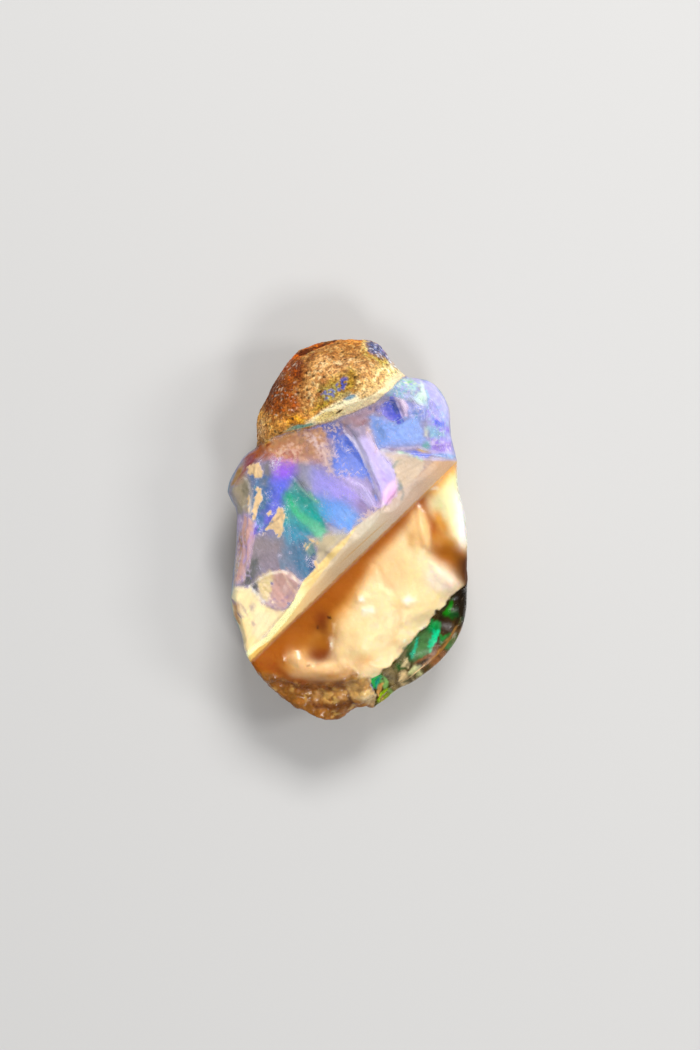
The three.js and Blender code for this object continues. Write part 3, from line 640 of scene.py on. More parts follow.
RIM = [  # (colours, softness, streak bearing, outline)
    ("#8a4c0e", 0.4, None, [(-7.6, -14.6), (-5.4, -15.2), (-3.2, -15.6), (-1.2, -15.5),
        (-0.2, -15), (0.2, -15.6), (-1.6, -16.2), (-4.4, -16.2), (-7, -15.8)]),
    ("#c2924e", 0.5, None, [(-0.2, -15.6), (0.6, -14.6), (1.4, -14.9), (2.2, -15.1), (2.4, -16),
        (2.9, -17), (1.6, -17.4), (0.2, -17)]),
    ("#e2c48c", 0.25, None, [(0.9, -13.9), (1.9, -13.4), (2.3, -14.6), (1.6, -15.1),
        (1.0, -14.9)]),
    ("#e6ca94", 0.25, None, [(1.4, -16.3), (2.4, -16.2), (2.9, -17.3), (2.4, -17.8), (1.6, -17.4),
        (1.0, -16.9)]),
    ("#d8a860", 0.3, None, [(0.0, -16.0), (0.8, -15.7), (1.0, -16.6), (0.3, -17.0)]),
    ("#b88444", 0.35, None, [(-3.4, -16.2), (-2.2, -16.0), (-1.8, -16.8), (-2.4, -17.4),
        (-3.4, -17.2)]),
    ("#c08a44", 0.3, None, [(-1.6, -16.3), (-0.6, -16.1), (0, -16.5), (-0.5, -17.2),
        (-1.4, -17.1)]),
    ("#6a3806", 0.25, None, [(-3.6, -17.4), (-2.0, -17.6), (-0.8, -17.2), (0.6, -17.4),
        (0.4, -17.9), (-1.6, -18.2), (-3.4, -17.9)]),
    ("#5c2f08", 0.15, None, [(-1.4, -17.0), (-1.0, -16.9), (-0.95, -17.3), (-1.25, -17.4)]),
    ("#5c2f08", 0.2, None, [(0.0, -16.4), (0.5, -17.2), (0.9, -17.6), (0.5, -17.7),
        (0.0, -17.1)]),
]
rubble = np.tile(shade("#9a6018"), (count, 1))
rubble = paint(rubble, RIM, 0.25)
rubble *= (1 + 0.2 * layered(rubbed, 0.7, 66))[:, None]
stained_rim = smooth(0.05, 0.6, layered(rubbed, 1.7, 65, 2))
rubble = toward(rubble, "#6a3806", 0.6 * np.maximum(0.5 * gaps, stained_rim))
rubble = toward(rubble, "#dcb060", 0.6 * smooth(0.15, 0.55, noise(rubbed, 1.0, 67)) * (1 - gaps))

old = np.tile(shade("#b8935f"), (count, 1))
old *= (1 + 0.3 * layered(rubbed, 2.4, 101, 3))[:, None]
frosty = smooth(0.1, 0.5, layered(rubbed, 4.5, 104, 3))
old = toward(old, "#c3b4a6", frosty * (0.9 + 0.1 * noise(rubbed, 0.6, 105)))
old = toward(old, "#8c4f1e", 0.8 * smooth(0.25, 0.7, layered(rubbed, 3.1, 107, 3)))
veins = smooth(0.1, 0.0, np.abs(layered(rubbed, 2.6, 109, 3)))
old = toward(old, "#6a3c18", 0.5 * veins)
relief -= under * 0.1 * veins * smooth(0.0, 1.2, z)

rim_finish, _, links, bsdf = new_finish(
    "crystalline rim", Subsurface_Weight=0.5, Subsurface_Radius=(0.8, 0.45, 0.2),
    Subsurface_Scale=0.5 * MM, IOR=1.45, Specular_IOR_Level=0.35, Coat_Weight=0.2,
    Coat_Roughness=0.12,
)
tinted(rim_finish, bsdf, grainy(rim_finish, 0.4, 0.85, 1.15, seed=9))
links.new(grainy(rim_finish, 0.4, 0.12, 0.5, seed=10), bsdf.inputs["Roughness"])
bumped(rim_finish, bsdf, grainy(rim_finish, 0.6, 0, 1, detail=3, seed=11), 0.03)

under_finish, _, links, bsdf = new_finish(
    "old break", Subsurface_Weight=0.15, Subsurface_Radius=(0.8, 0.45, 0.2),
    Subsurface_Scale=0.5 * MM, IOR=1.45,
)
tinted(under_finish, bsdf, grainy(under_finish, 1.3, 0.55, 1.4, detail=9, seed=12))
links.new(grainy(under_finish, 0.6, 0.4, 0.8, seed=13), bsdf.inputs["Roughness"])
bumped(under_finish, bsdf, grainy(under_finish, 0.6, 0, 1, detail=9, seed=14), 0.16)

# ---- Opal face and its fire ----
# A fresh break in crystal opal: flat facets, fine shell ripples and a smooth layered wall.
# A little way in lies the play of colour, stacked silica that sends back one hue a patch.

banding = noise(np.stack([past / 0.16, along / 9, np.zeros(count)], 1), 1.0, 70)
relief += 0.008 * wall * banding
ripple = np.sin(np.hypot(x - 1.5, y - 9.5) / 0.42 + 1.5 * noise(rubbed, 2.2, 71))
ripple *= smooth(0.1, 0.6, noise(rubbed, 2.4, 72))
chips = smooth(0.4, 0.8, noise(rubbed, 0.5, 73))
relief += (opal - wall) * (0.012 * ripple - 0.012 * chips + 0.025 * noise(rubbed, 1.6, 74))
SCALLOP = 1.5  # size of the small shell chips on the flanks, mm
scallop, _, _ = cells(rubbed + 0.25 * noise(rubbed, 1.1, 68)[:, None], SCALLOP, 69)
chipped = (opal - wall) * smooth(0.9, 0.55, normal[:, 2]) * smooth(-0.1, 0.2, normal[:, 2])
relief -= 0.22 * relax(chipped, 3) * (0.7 - scallop).clip(0, 0.7)


def streaky(bearing, length, width, seed):
    """Noise drawn out along a plan bearing."""
    t = math.radians(bearing)
    u = x * math.cos(t) + y * math.sin(t)
    v = y * math.cos(t) - x * math.sin(t)
    return noise(np.stack([u / length, v / width, z / length], 1), 1.0, seed)


def ramp(values, stations, codes):
    """Colours that run from each code to the next as values pass the stations."""
    tones = np.array([shade(code) for code in codes])
    return np.stack([np.interp(values, stations, tones[:, k]) for k in range(3)], 1)


FIRE = [  # (colours, softness, streak bearing, outline)
    # upper left: frosted tan and rust under the crust, then violet
    ("#cc8c50 #b89cac", 0.5, 20, [(-9.2, 8.2), (-7.4, 9), (-5, 10), (-2.2, 10.4), (-1.6, 9),
        (-2.2, 6.4), (-4.8, 6.6), (-7.7, 6.9), (-9.2, 7.4)]),
    ("#8e3e04 #b05c20", 0.35, 25, [(-10.2, 7.9), (-9.9, 8.2), (-8.6, 8.6), (-7.6, 8.3),
        (-7.2, 7.6), (-8.4, 7.2), (-9.3, 7), (-10, 6), (-10.4, 6.3)]),
    ("#863c50", 0.2, 40, [(-10, 7.2), (-9.3, 7.3), (-9.2, 6.8), (-9.9, 6.1), (-10.3, 6.1)]),
    ("#a67c34", 0.2, 65, [(-11.6, 4.5), (-11.1, 6), (-10.5, 6.4), (-10.3, 5.6), (-10.8, 4.7)]),
    ("#d89c40", 0.25, 25, [(-8.6, 8.9), (-7.2, 9.3), (-6.8, 8.8), (-7.4, 8.2), (-8.3, 8.3)]),
    ("#c59a58", 0.15, 27, [(-6.9, 8.9), (-4.4, 10.1), (-4.2, 9.8), (-6.7, 8.6)]),
    ("#a8969c", 0.12, 25, [(-8, 9.1), (-6.4, 9.6), (-5.2, 10.1), (-6.6, 9.4), (-7.8, 8.9)]),
    ("#aaa28a", 0.3, 80, [(-11.8, 4.2), (-11, 4.9), (-10.3, 5.3), (-9.9, 4.9), (-9.6, 4),
        (-9.7, 1.8), (-10.8, 1.6), (-11.4, 2.6)]),
    ("#7c7c66", 0.12, 85, [(-10.9, 4.6), (-10.2, 4.8), (-9.8, 3.8), (-10.2, 3), (-10.8, 3.4)]),
    ("#437c94 #3f7ca8", 0.4, 70, [(-10.3, 5.5), (-9.9, 5.7), (-8.4, 5), (-7.7, 6.6), (-7.2, 5.2),
        (-6.4, 3), (-6.6, 1), (-8.2, 0), (-9.4, 0.2), (-9.6, 3), (-9.8, 4.6)]),
    ("#3c68bc", 0.3, 70, [(-7.9, 5.6), (-7.4, 5), (-7.2, 3.6), (-7.9, 2.6), (-8.1, 4.4)]),
    ("#7d6fd0 #6c7edc", 0.4, 55, [(-7.5, 5.4), (-5.2, 6.2), (-5.6, 4.8), (-6.1, 3.4), (-7, 1.7),
        (-8.7, -0.2), (-9.4, -0.6), (-8.3, 1.6), (-7.5, 2.8), (-7.2, 4)]),
    ("#d48ea8", 0.6, 20, [(-7.6, 7.8), (-5, 8.0), (-4.9, 6.6), (-7.6, 6.4)]),
    ("#b47cd8", 0.4, 20, [(-7.4, 6.7), (-5.1, 6.9), (-5.0, 6.0), (-7.2, 5.8)]),
    ("#a468f6", 0.5, 50, [(-7.4, 6), (-5.1, 6.2), (-5.2, 5), (-6.2, 4.6), (-7.3, 5)]),
    ("#7880ec", 0.4, 55, [(-7.2, 4.6), (-5.8, 4.9), (-6.0, 3.8), (-6.8, 3.2)]),
    ("#7e7e74", 0.3, 80, [(-8.5, 6.6), (-7.5, 6.6), (-7.6, 5.2), (-8.4, 5.3)]),
    ("#5a7484", 0.3, 80, [(-8.7, 5.2), (-8.0, 5.0), (-7.9, 4.1), (-8.7, 4.1)]),
    ("#949a8c", 0.5, 45, [(-5, 6.6), (-3.4, 6.2), (-2.8, 4.4), (-3.4, 3.2), (-4.6, 3.9),
        (-5, 5)]),
    # middle: lilac and sky over a teal wedge
    ("#aca8ff #bcaaea", 0.9, -35, [(-3.6, 6.1), (-1.6, 5.4), (0.2, 5.2), (1.4, 4.4), (2.7, 2.8),
        (2.8, 2), (1, 1.7), (-0.6, 2.4), (-2.2, 2.9), (-3.6, 3.6)]),
    ("#d6c4ea", 0.7, -50, [(-0.6, 5.4), (0.8, 5.4), (2.2, 3.8), (2.4, 3.1), (1.2, 3.8),
        (-0.4, 4.8)]),
    ("#a894bc", 0.5, -40, [(1.0, 3.0), (2.6, 2.8), (2.6, 1.8), (1.2, 1.2), (0.8, 1.9)]),
    ("#50aaf4 #74b4ff", 0.7, -40, [(-3.3, 3.2), (-2, 3), (-0.6, 2.6), (0.6, 1.9), (1.2, 0.9),
        (0.3, -0.3), (-0.6, 0.1), (-1.8, 0.9), (-2.8, 1.9)]),
    ("#54b8e8", 0.4, -40, [(-3.6, 2.8), (-2.4, 2.6), (-1.6, 1.5), (-2.1, 0.7), (-2.9, 1.3)]),
    ("#84bcff", 0.5, -40, [(-0.9, 2.3), (0.4, 1.7), (0.8, 1.0), (-0.3, 0.9), (-1.6, 1.7)]),
    ("#0c9080 #14a29c", 0.5, -48, [(-5.3, 4.9), (-4.9, 4.2), (-4, 3.4), (-3, 2.6), (-2.8, 1.6),
        (-2.2, 0.4), (-2.3, -0.6), (-3, -1), (-3.6, -0.3), (-4.6, 0.4), (-6, 0.5), (-6.2, 2.2),
        (-6, 3.6), (-5.6, 4.2)]),
    ("#20bc80 #6ccc9c", 0.4, -48, [(-6, 2.6), (-5.3, 1.6), (-4.4, 0.7), (-3.2, -0.5), (-2.6, -1),
        (-2.3, -0.1), (-3.4, 0.9), (-4.8, 2), (-5.8, 3.4)]),
    ("#18b4b0", 0.4, -48, [(-4.8, 2.5), (-3.2, 1.5), (-2.6, 0.9), (-3.6, 0.7), (-4.6, 1.6)]),
    ("#4a9ea4", 0.5, -60, [(-6.2, 3.4), (-5.4, 4), (-4.4, 1.4), (-3.6, -0.6), (-4, -3),
        (-5.6, -3), (-6.3, -0.6), (-6.5, 1.6)]),
    ("#20bc84 #8cd8ac", 0.3, -48, [(-6.3, 3.0), (-5.6, 1.7), (-4.6, 0.6), (-3.3, -0.6),
        (-2.6, -1.0), (-2.3, -0.2), (-3.3, 0.7), (-4.7, 1.8), (-5.8, 3.4)]),
    ("#6fc48e", 0.16, -40, [(-4.9, 4.1), (-4, 3.5), (-3, 2.75), (-3.2, 2.5), (-4.4, 3.4)]),
    ("#40a0b4", 0.6, -70, [(-6.4, 0.8), (-5.2, 1.1), (-3.8, -0.4), (-4, -1.2), (-5.4, -1.9),
        (-6.4, -1.2)]),
    # lower left: steel blue, grey violet and the narrow facets of the left margin
    ("#4c8098 #40809c", 0.4, -70, [(-5.8, -1.2), (-3.8, -1), (-3.2, -2.6), (-3.2, -3.9),
        (-4.2, -5), (-4.8, -4.6), (-5.4, -3.6), (-6.2, -2.4)]),
    ("#1b5888", 0.25, 80, [(-3.9, -2.7), (-3, -2.6), (-3.1, -3.9), (-3.8, -4.5)]),
    ("#748e9c", 0.5, -80, [(-7.4, -1), (-6.2, -0.8), (-5.5, -3.8), (-4.8, -5), (-6.2, -4.2),
        (-7.2, -4)]),
    ("#9a9084 #988e94", 0.4, -70, [(-9.8, -1.4), (-8.8, -0.4), (-7.2, -1), (-6.4, -1),
        (-6.8, -4.2), (-8.4, -4.6), (-9.6, -5.6), (-10.8, -5.4), (-10.4, -3.6)]),
    ("#666c5e", 0.4, 40, [(-10, -3), (-9, -2.6), (-8.8, -4.2), (-9.8, -5.5), (-10.9, -5.3)]),
    ("#d8b8a8 #c0a8d0", 0.3, 75, [(-11.8, -5.5), (-10.4, -5), (-9.4, -1), (-9.2, 0.8),
        (-10.2, 1.4), (-11.2, 1.2), (-11.2, -1), (-11.8, -4)]),
    ("#4c84a8", 0.25, 60, [(-9.1, 1.6), (-8.3, 1.3), (-8.1, 0.5), (-8.8, -0.1), (-9.2, 0.6)]),
    ("#8f66e0", 0.16, 60, [(-9.7, -0.9), (-9.3, -0.4), (-8.9, 0.3), (-9.2, 0.4), (-9.7, -0.2)]),
    ("#b98a58", 0.2, 80, [(-10.8, -0.2), (-10.2, -0.2), (-10.3, -1.6), (-10.9, -2.6)]),
    ("#c9b49c", 0.2, 75, [(-11.3, -3), (-10.7, -2.4), (-10.8, -4.4), (-11.4, -4.8)]),
    ("#c8bcb0 #d4c6a4", 0.35, 45, [(-4.3, -0.7), (-2.6, -1), (-1.8, -0.2), (0.2, -0.3),
        (-1.6, -2.1), (-3, -3.6), (-3.2, -3), (-2.9, -2.2), (-3.6, -1.2)]),
    ("#c0c4cc", 0.25, 30, [(-1.9, 0.3), (-0.2, 0.2), (0.2, -0.4), (-1.2, -0.9)]),
    # the deep blue patch and the clear lens facet beside it
    ("#4a6cc8 #7c9cf0", 0.2, -62, [(-2.4, 10.3), (-0.6, 10.4), (-0.4, 9.5), (0.4, 8.9),
        (1.0, 8.1), (1.45, 7.2), (1.9, 6.2), (2.25, 5.5), (1.9, 5.2), (1.5, 5.2), (0.2, 5.6),
        (-0.6, 5.3), (-1.4, 5.7), (-1.5, 6.6), (-1.2, 7.6), (-1.3, 8.6), (-2.2, 9.4)]),
    ("#4a5498", 0.3, -60, [(-2, 10.5), (-0.9, 10.4), (-1.2, 9.7), (-2.2, 9.8)]),
    ("#7e9cf0", 0.4, -55, [(-0.6, 7), (0.6, 7.4), (1.3, 6.4), (1.4, 5.4), (-0.8, 5.4),
        (-1.2, 6.3)]),
    ("#2f5cc0 #5c92fc", 0.08, -62, [(-0.4, 9.45), (0.4, 8.9), (1.0, 8.1), (1.45, 7.2), (1.9, 6.2),
        (2.25, 5.5), (2.5, 4.6), (2.8, 3.7), (3.0, 3.1), (2.8, 3.0), (2.55, 3.9), (2.3, 4.6),
        (1.9, 5.2), (1.65, 6.1), (1.0, 7.1), (0.3, 7.9), (-0.2, 8.6)]),
    ("#8a4c34", 0.12, 85, [(-0.75, 9.2), (-0.35, 9.4), (-0.2, 10.4), (-0.5, 10.3), (-0.6, 9.8)]),
    ("#ccc0e4", 0.25, -55, [(0.2, 5.2), (0.8, 5.1), (1.6, 4), (2.3, 4.1), (2.5, 3.6), (2.8, 2.2),
        (2.3, 2.2), (1.2, 3.5)]),
    ("#b8a8b4 #d8c8ff", 0.08, -60, [(-0.3, 9.9), (-0.3, 9.5), (0.4, 8.95), (1.0, 8.15),
        (1.45, 7.3), (1.9, 6.3), (2.3, 5.5), (2.55, 4.6), (2.85, 3.7), (3.05, 3.0), (3.3, 2.2),
        (4.2, 2.45), (4.9, 3.3), (5.0, 4.6), (4.7, 5.5), (4.4, 6.4), (3.5, 7.4), (3.2, 8.1),
        (2.6, 9.4), (2.0, 10.3), (0.8, 10.2)]),
    ("#e4dcf4", 0.14, -60, [(0.5, 9.3), (1.2, 8.9), (2.0, 7.4), (2.5, 6.2), (2.85, 5.0),
        (3.25, 3.7), (3.1, 3.2), (2.75, 4.0), (2.2, 5.5), (1.4, 7.2), (0.7, 8.5)]),
    ("#dccaf8", 0.3, -80, [(2.3, 8), (2.9, 7.9), (3.1, 6.6), (3.1, 5.4), (2.7, 4.4), (2.4, 5.6),
        (2.1, 6.6)]),
    ("#c8ccf8", 0.35, -50, [(3.1, 8), (3.6, 7.3), (4.4, 6.3), (4.2, 5.8), (3.4, 6.6)]),
    ("#c4aafa", 0.3, -80, [(3.2, 5.8), (3.9, 5.6), (4.1, 4.6), (3.7, 3.8), (3.2, 4.2)]),
    ("#ffdcf8", 0.25, 55, [(3.1, 2.3), (3.5, 3.3), (4.2, 4.3), (4.95, 5.1), (5.0, 4.4),
        (4.9, 3.3), (4.2, 2.5)]),
    ("#e8a8ea", 0.25, 60, [(4.0, 2.6), (4.5, 3.6), (4.9, 3.8), (4.8, 3.2), (4.3, 2.6)]),
    ("#f0ccae", 0.2, -65, [(1.9, 10.1), (2.4, 9.9), (2.9, 8.4), (3.3, 7.5), (2.8, 7.7),
        (2.2, 8.8)]),
    ("#a8a0b0", 0.25, -50, [(0.2, 9.7), (0.9, 9.6), (1.3, 8.6), (1.0, 8.5), (0.5, 9.0)]),
    ("#ad959c #b49ab0", 0.35, 25, [(-0.9, 10.8), (0.4, 11.5), (2.2, 12.2), (3.6, 12.6),
        (3.2, 11.7), (2.2, 11.3), (2.1, 10.3), (0.6, 10.2), (-0.4, 10.2)]),
    ("#bf8c90", 0.35, 25, [(0.3, 11), (1.8, 10.8), (1.6, 10.4), (0.6, 10.4)]),
    # upper right: sky blue, the deep pit, lilac and a white corner
    ("#8cb6fa #a2c6ff", 0.4, 10, [(2.4, 11.2), (3.6, 11.2), (4.6, 10.6), (6, 11), (7.4, 11.2),
        (7.6, 9.4), (8, 8.6), (6.6, 8.3), (4.6, 8.2), (3.2, 8.2), (3, 9), (2.5, 10)]),
    ("#78a4dc", 0.45, -60, [(2.3, 10.6), (3.2, 10.6), (4.0, 9.0), (3.4, 8.4), (2.8, 9.4)]),
    ("#a4b4f4", 0.3, -70, [(5.6, 12.9), (7.6, 12.3), (8.3, 11.8), (7.8, 11), (6, 11),
        (5.6, 11.6)]),
    ("#9cc8d4 #b0d8d8", 0.3, 40, [(4.0, 13.4), (4.7, 14.4), (5.2, 15.0), (6.6, 15.4), (7.1, 14.6),
        (7, 13.6), (6, 13), (5, 13.1)]),
    ("#c2beff #c0c6ff", 0.4, -55, [(6.6, 15.2), (8.5, 15.2), (9.6, 13.9), (10.4, 12.6),
        (10.8, 11.2), (10.8, 9.8), (11.2, 8.4), (11.2, 7.4), (9, 7.2), (8.4, 8.3), (8.6, 9.6),
        (8.3, 11.4), (8.4, 12.4), (8.1, 13.8), (7.4, 14.6)]),
    ("#8c6cf0", 0.3, -50, [(8.4, 11.8), (9.6, 10.7), (10.3, 10.1), (9.9, 9.5), (9, 10.4)]),
    ("#6b88fc", 0.2, -45, [(8.7, 11.2), (9.8, 10.5), (9.5, 10.2)]),
    ("#a2d2e6", 0.2, -75, [(7.9, 13.9), (8.3, 13.3), (8.4, 12.2), (8, 12.2)]),
    ("#bcdcd8 #d4e8d0", 0.12, -70, [(7.2, 14.9), (7.75, 14.5), (7.85, 13.6), (8, 12.4),
        (7.5, 12.5), (6.5, 13.1), (7.1, 13.5)]),
    ("#98d090", 0.16, 20, [(5.9, 15), (6.5, 14.9), (6.4, 14.5), (6, 14.6)]),
    ("#58bcd4", 0.2, 80, [(6.7, 11.4), (7.1, 11.5), (7.2, 11), (6.8, 10.9)]),
    ("#5a68cc #4450d0", 0.1, -60, [(3.1, 12.0), (3.6, 12.5), (4.2, 12.85), (5.0, 12.75),
        (5.2, 12.1), (5.6, 11.1), (5.4, 10.75), (5.05, 10.6), (4.5, 10.8), (4.2, 11.0),
        (3.6, 11.5)]),
    ("#20459a", 0.2, -60, [(4.2, 12.7), (4.95, 12.65), (5.15, 12.1), (5.35, 11.5), (4.7, 11.7)]),
    ("#8b88e4", 0.25, 20, [(3.2, 11.9), (3.9, 12.0), (4.5, 11.2), (4.2, 11.0), (3.6, 11.5)]),
    ("#3a569c", 0.12, None, [(2.1, 12.05), (2.4, 12.05), (2.4, 11.75), (2.1, 11.75)]),
    ("#405ca8", 0.12, None, [(2.95, 12.2), (3.15, 12.2), (3.15, 11.8), (2.95, 11.8)]),
    ("#e6d0e4", 0.1, -70, [(4.9, 12.9), (5.7, 12.95), (5.9, 12.1), (5.75, 11.2), (5.55, 11.1),
        (5.25, 12.1)]),
    ("#d2d8c0", 0.16, None, [(7.8, 10.1), (8.2, 10), (8.1, 9.2), (7.7, 9.3)]),
    ("#90c8dc", 0.3, -30, [(8.4, 10.4), (9, 10.2), (9.7, 9.4), (8.9, 9.1), (8.3, 9.3)]),
    ("#6cc8a8", 0.18, 10, [(7.5, 8.3), (8.3, 8.6), (8.4, 8.1), (7.7, 7.9)]),
    ("#b096ec", 0.3, 10, [(8.6, 9), (10.6, 9), (11, 7.8), (9, 7.6), (8.3, 8)]),
    ("#b09aac", 0.14, 0, [(3.6, 8.1), (5.2, 8.05), (7, 8.3), (7, 7.95), (5, 7.8)]),
    ("#6e8af4", 0.14, -10, [(5.4, 7.75), (7, 7.75), (8.5, 7.4), (8.2, 7), (7.2, 7.1), (6, 7.5)]),
    ("#84d88c", 0.08, -20, [(5.7, 7.55), (6.8, 7.3), (7.5, 6.9), (6.6, 7.05)]),
    ("#e2c088", 0.1, -8, [(7.1, 7.95), (8.3, 7.65), (8.2, 7.45), (7.1, 7.65)]),
    ("#a2c4f4", 0.16, 0, [(8.6, 7.45), (10.8, 7.45), (10.4, 7), (9, 7.1)]),
    # the cream shell above the wall and the pale lower left facets
    ("#dccab0 #e8d8c0", 0.25, 30, [(3.4, 7.6), (5.2, 7.6), (6.6, 7.1), (7.6, 6.9), (7.6, 6),
        (7.4, 5.2), (6.4, 3.6), (5, 2.2), (4.4, 2.6), (5.3, 4.2), (4.7, 5.8), (4.4, 6.8)]),
    ("#e8e0de", 0.15, 0, [(3.5, 7.6), (5.1, 7.5), (4.8, 7), (4.2, 7)]),
    ("#889a88", 0.15, 50, [(4.6, 6.1), (5.2, 6.9), (5.5, 6.8), (4.9, 6)]),
    ("#6f948c", 0.1, -75, [(5.2, 4.7), (5.4, 4.6), (5.7, 3.6), (5.4, 3.8)]),
    ("#c8a4e0", 0.15, -70, [(5.2, 3.5), (5.6, 3.4), (5.5, 2.9), (5.3, 3)]),
    ("#fae0a0 #fff2c8", 0.3, 60, [(-12, -5.6), (-9.8, -5.8), (-8, -7.6), (-6.4, -8.2),
        (-5.6, -7.6), (-6.2, -8.6), (-9.6, -12.4), (-11, -11.5), (-12, -8)]),
    # Painted highlight: the whitest cream on the lower left facet.
    ("#fff6dc", 0.5, 60, [(-9.4, -8), (-7.6, -8.6), (-7.4, -9.6), (-8.6, -11.4), (-9.4, -10.4)]),
    ("#9a86a4", 0.12, -50, [(-9.6, -7.4), (-9.2, -7.6), (-9.6, -8.4), (-10, -8)]),
    ("#a890a8", 0.12, -40, [(-9.6, -9.2), (-9.2, -9.6), (-9.3, -10.2), (-9.8, -9.7)]),
    ("#8f7a9c", 0.1, -50, [(-11.6, -6.9), (-11.2, -7.2), (-10.6, -8.9), (-10.9, -8.8)]),
    # Painted highlight.
    ("#fff2d0", 0.3, 65, [(-8.5, -9), (-7.8, -9), (-7.9, -10.2), (-8.3, -10.9), (-8.7, -10.6)]),
    ("#c88c3c", 0.2, -65, [(-11.5, -7.4), (-11.1, -7.6), (-10.9, -9.4), (-11.3, -9.2)]),
    ("#7c688c", 0.2, -55, [(-10.9, -7.8), (-10.4, -8.2), (-10.2, -8.7), (-10.7, -8.3)]),
    ("#c8a498 #c8a4a0", 0.2, -50, [(-7.4, -4.2), (-6.2, -4.0), (-5.2, -4.6), (-4.6, -5.4),
        (-5.3, -7), (-6, -8), (-7, -8), (-8, -7.4), (-7.6, -6)]),
    ("#e4d09c", 0.2, -60, [(-9.1, -5.2), (-8, -4.4), (-7.4, -4.3), (-7.5, -6.2), (-7.9, -7.2),
        (-8.7, -6.4)]),
    ("#565a50", 0.14, -50, [(-9.6, -5.7), (-8.9, -5.2), (-8.8, -6.2), (-9.1, -6.6)]),
    ("#78648c", 0.2, -30, [(-8, -7.4), (-7.6, -6.9), (-6.9, -7.6), (-7.2, -7.9)]),
    ("#dcb49c", 0.08, -50, [(-6.5, -4.2), (-6.3, -4.2), (-5.9, -5.4), (-5.1, -6.3), (-5.2, -6.5),
        (-6.1, -5.5)]),
]
fire = np.tile(shade("#9a94aa"), (count, 1))
fire = paint(fire, FIRE, 0.1)
MOTTLE = [  # (colour, size of the flecks, cover, outline)
    ("#f2efd4", 0.3, 0.45, [(4.2, 13.2), (4.8, 14.6), (6.6, 15.5), (7.2, 14.6), (6.8, 13.2),
        (5.4, 12.9)]),
    ("#6cb0b4", 0.3, 0.5, [(4.0, 13.2), (4.6, 14.6), (6.4, 15.4), (6.8, 14), (5.4, 13.1)]),
    ("#a8a4ec", 0.35, 0.5, [(4.4, 13.4), (5.6, 15.2), (7.4, 15), (7.0, 13.2), (5.6, 12.9)]),
    ("#b4e0a0", 0.25, 0.35, [(5.2, 14.0), (5.8, 15.2), (6.9, 15.2), (6.9, 14.2)]),
    ("#c8d4f4", 0.3, 0.5, [(5.8, 13.0), (7.8, 12.2), (7.8, 11), (6, 11)]),
    ("#74a8dc", 0.25, 0.4, [(2.4, 11.2), (3.2, 11.2), (4.0, 10.6), (6, 11.6), (7.6, 12.4),
        (7.6, 10.8), (4, 10)]),
    ("#a4c8e8", 0.35, 0.5, [(8.2, 12.8), (9.8, 12.4), (10.4, 10.4), (9, 10), (8.1, 11)]),
    ("#d4d4fc", 0.3, 0.4, [(8.2, 14.6), (10.2, 13), (10.8, 9.6), (9.6, 9.8), (8.4, 12)]),
    ("#a4d8d4", 0.3, 0.5, [(8, 10.4), (9.6, 10.2), (10, 9), (8.2, 8.4)]),
    ("#e4d8f0", 0.35, 0.5, [(8.2, 9), (10.8, 9.2), (11, 7.6), (8.6, 7.8)]),
    ("#8e8cd0", 0.35, 0.5, [(-5.2, 10), (-1.8, 10.5), (-1.6, 8.2), (-4.4, 7.6)]),
    ("#a8968c", 0.45, 0.4, [(-8.6, 8.8), (-4.4, 10.2), (-3, 8), (-4.4, 6.6), (-7.6, 7.4)]),
    ("#f2d4c0", 0.4, 0.5, [(-7.4, 8.8), (-2.4, 10.2), (-1.8, 8), (-4.4, 6.4), (-7, 7.2)]),
    ("#e8a0b4", 0.3, 0.5, [(-7.2, 7.7), (-5, 7.9), (-5, 6.6), (-7.2, 6.4)]),
    ("#5c98a4", 0.4, 0.4, [(-9.6, 5), (-8, 5), (-7.6, 3), (-8.2, 0.6), (-9.4, 1)]),
    ("#7c6cb8", 0.3, 0.45, [(-8.2, -7.4), (-5.2, -7), (-5, -6), (-7.6, -6.4)]),
    ("#e8dce8", 0.3, 0.5, [(-11.6, 1), (-10.2, 1), (-10, -5), (-11.8, -5)]),
    ("#7c64c0", 0.3, 0.3, [(-11.4, 1), (-10, 1), (-9.8, -5), (-11.8, -5)]),
]
for number, (colour, dot, cover, outline) in enumerate(MOTTLE):
    inside = smooth(0.35, -0.2, reach(x, y, outline))
    dots = noise(rubbed, dot, 200 + number) + 0.5 * noise(rubbed, 1.6 * dot, 230 + number)
    fire = toward(fire, colour, 0.75 * inside * smooth(0.1, 0.35, dots - 0.5 + cover))
fleck = 0.08 * streaky(-55, 0.7, 0.24, 76) + 0.1 * streaky(-48, 2.4, 0.4, 77)
fleck += 0.09 * noise(rubbed, 0.25, 78)
fire *= 1 + fleck[:, None] * (1.2, 0.9, 0.6)
# The flanks show the same hues, dimmer and in clouds.
SIDE_TONES = ("#8c88a8", "#5c7cc0", "#4c9c9c", "#aaa0dc", "#c8b498", "#8c88a8")
band = 2.5 + 2.2 * layered(rubbed * (1, 1, 1.6), 2.6, 160, 3)
side = ramp(band, range(len(SIDE_TONES)), SIDE_TONES)
steep = relax(smooth(0.32, 0.05, normal[:, 2]) * smooth(0.3, 1.2, -ledge_side), 2)
fire = toward(fire, side, (0.8 - 0.5 * smooth(8, 10, z)) * steep)
fire = toward(fire, "#dcc8c4", 0.06 * smooth(0, 0.7, layered(rubbed, 1.1, 79, 4, 0.6)))

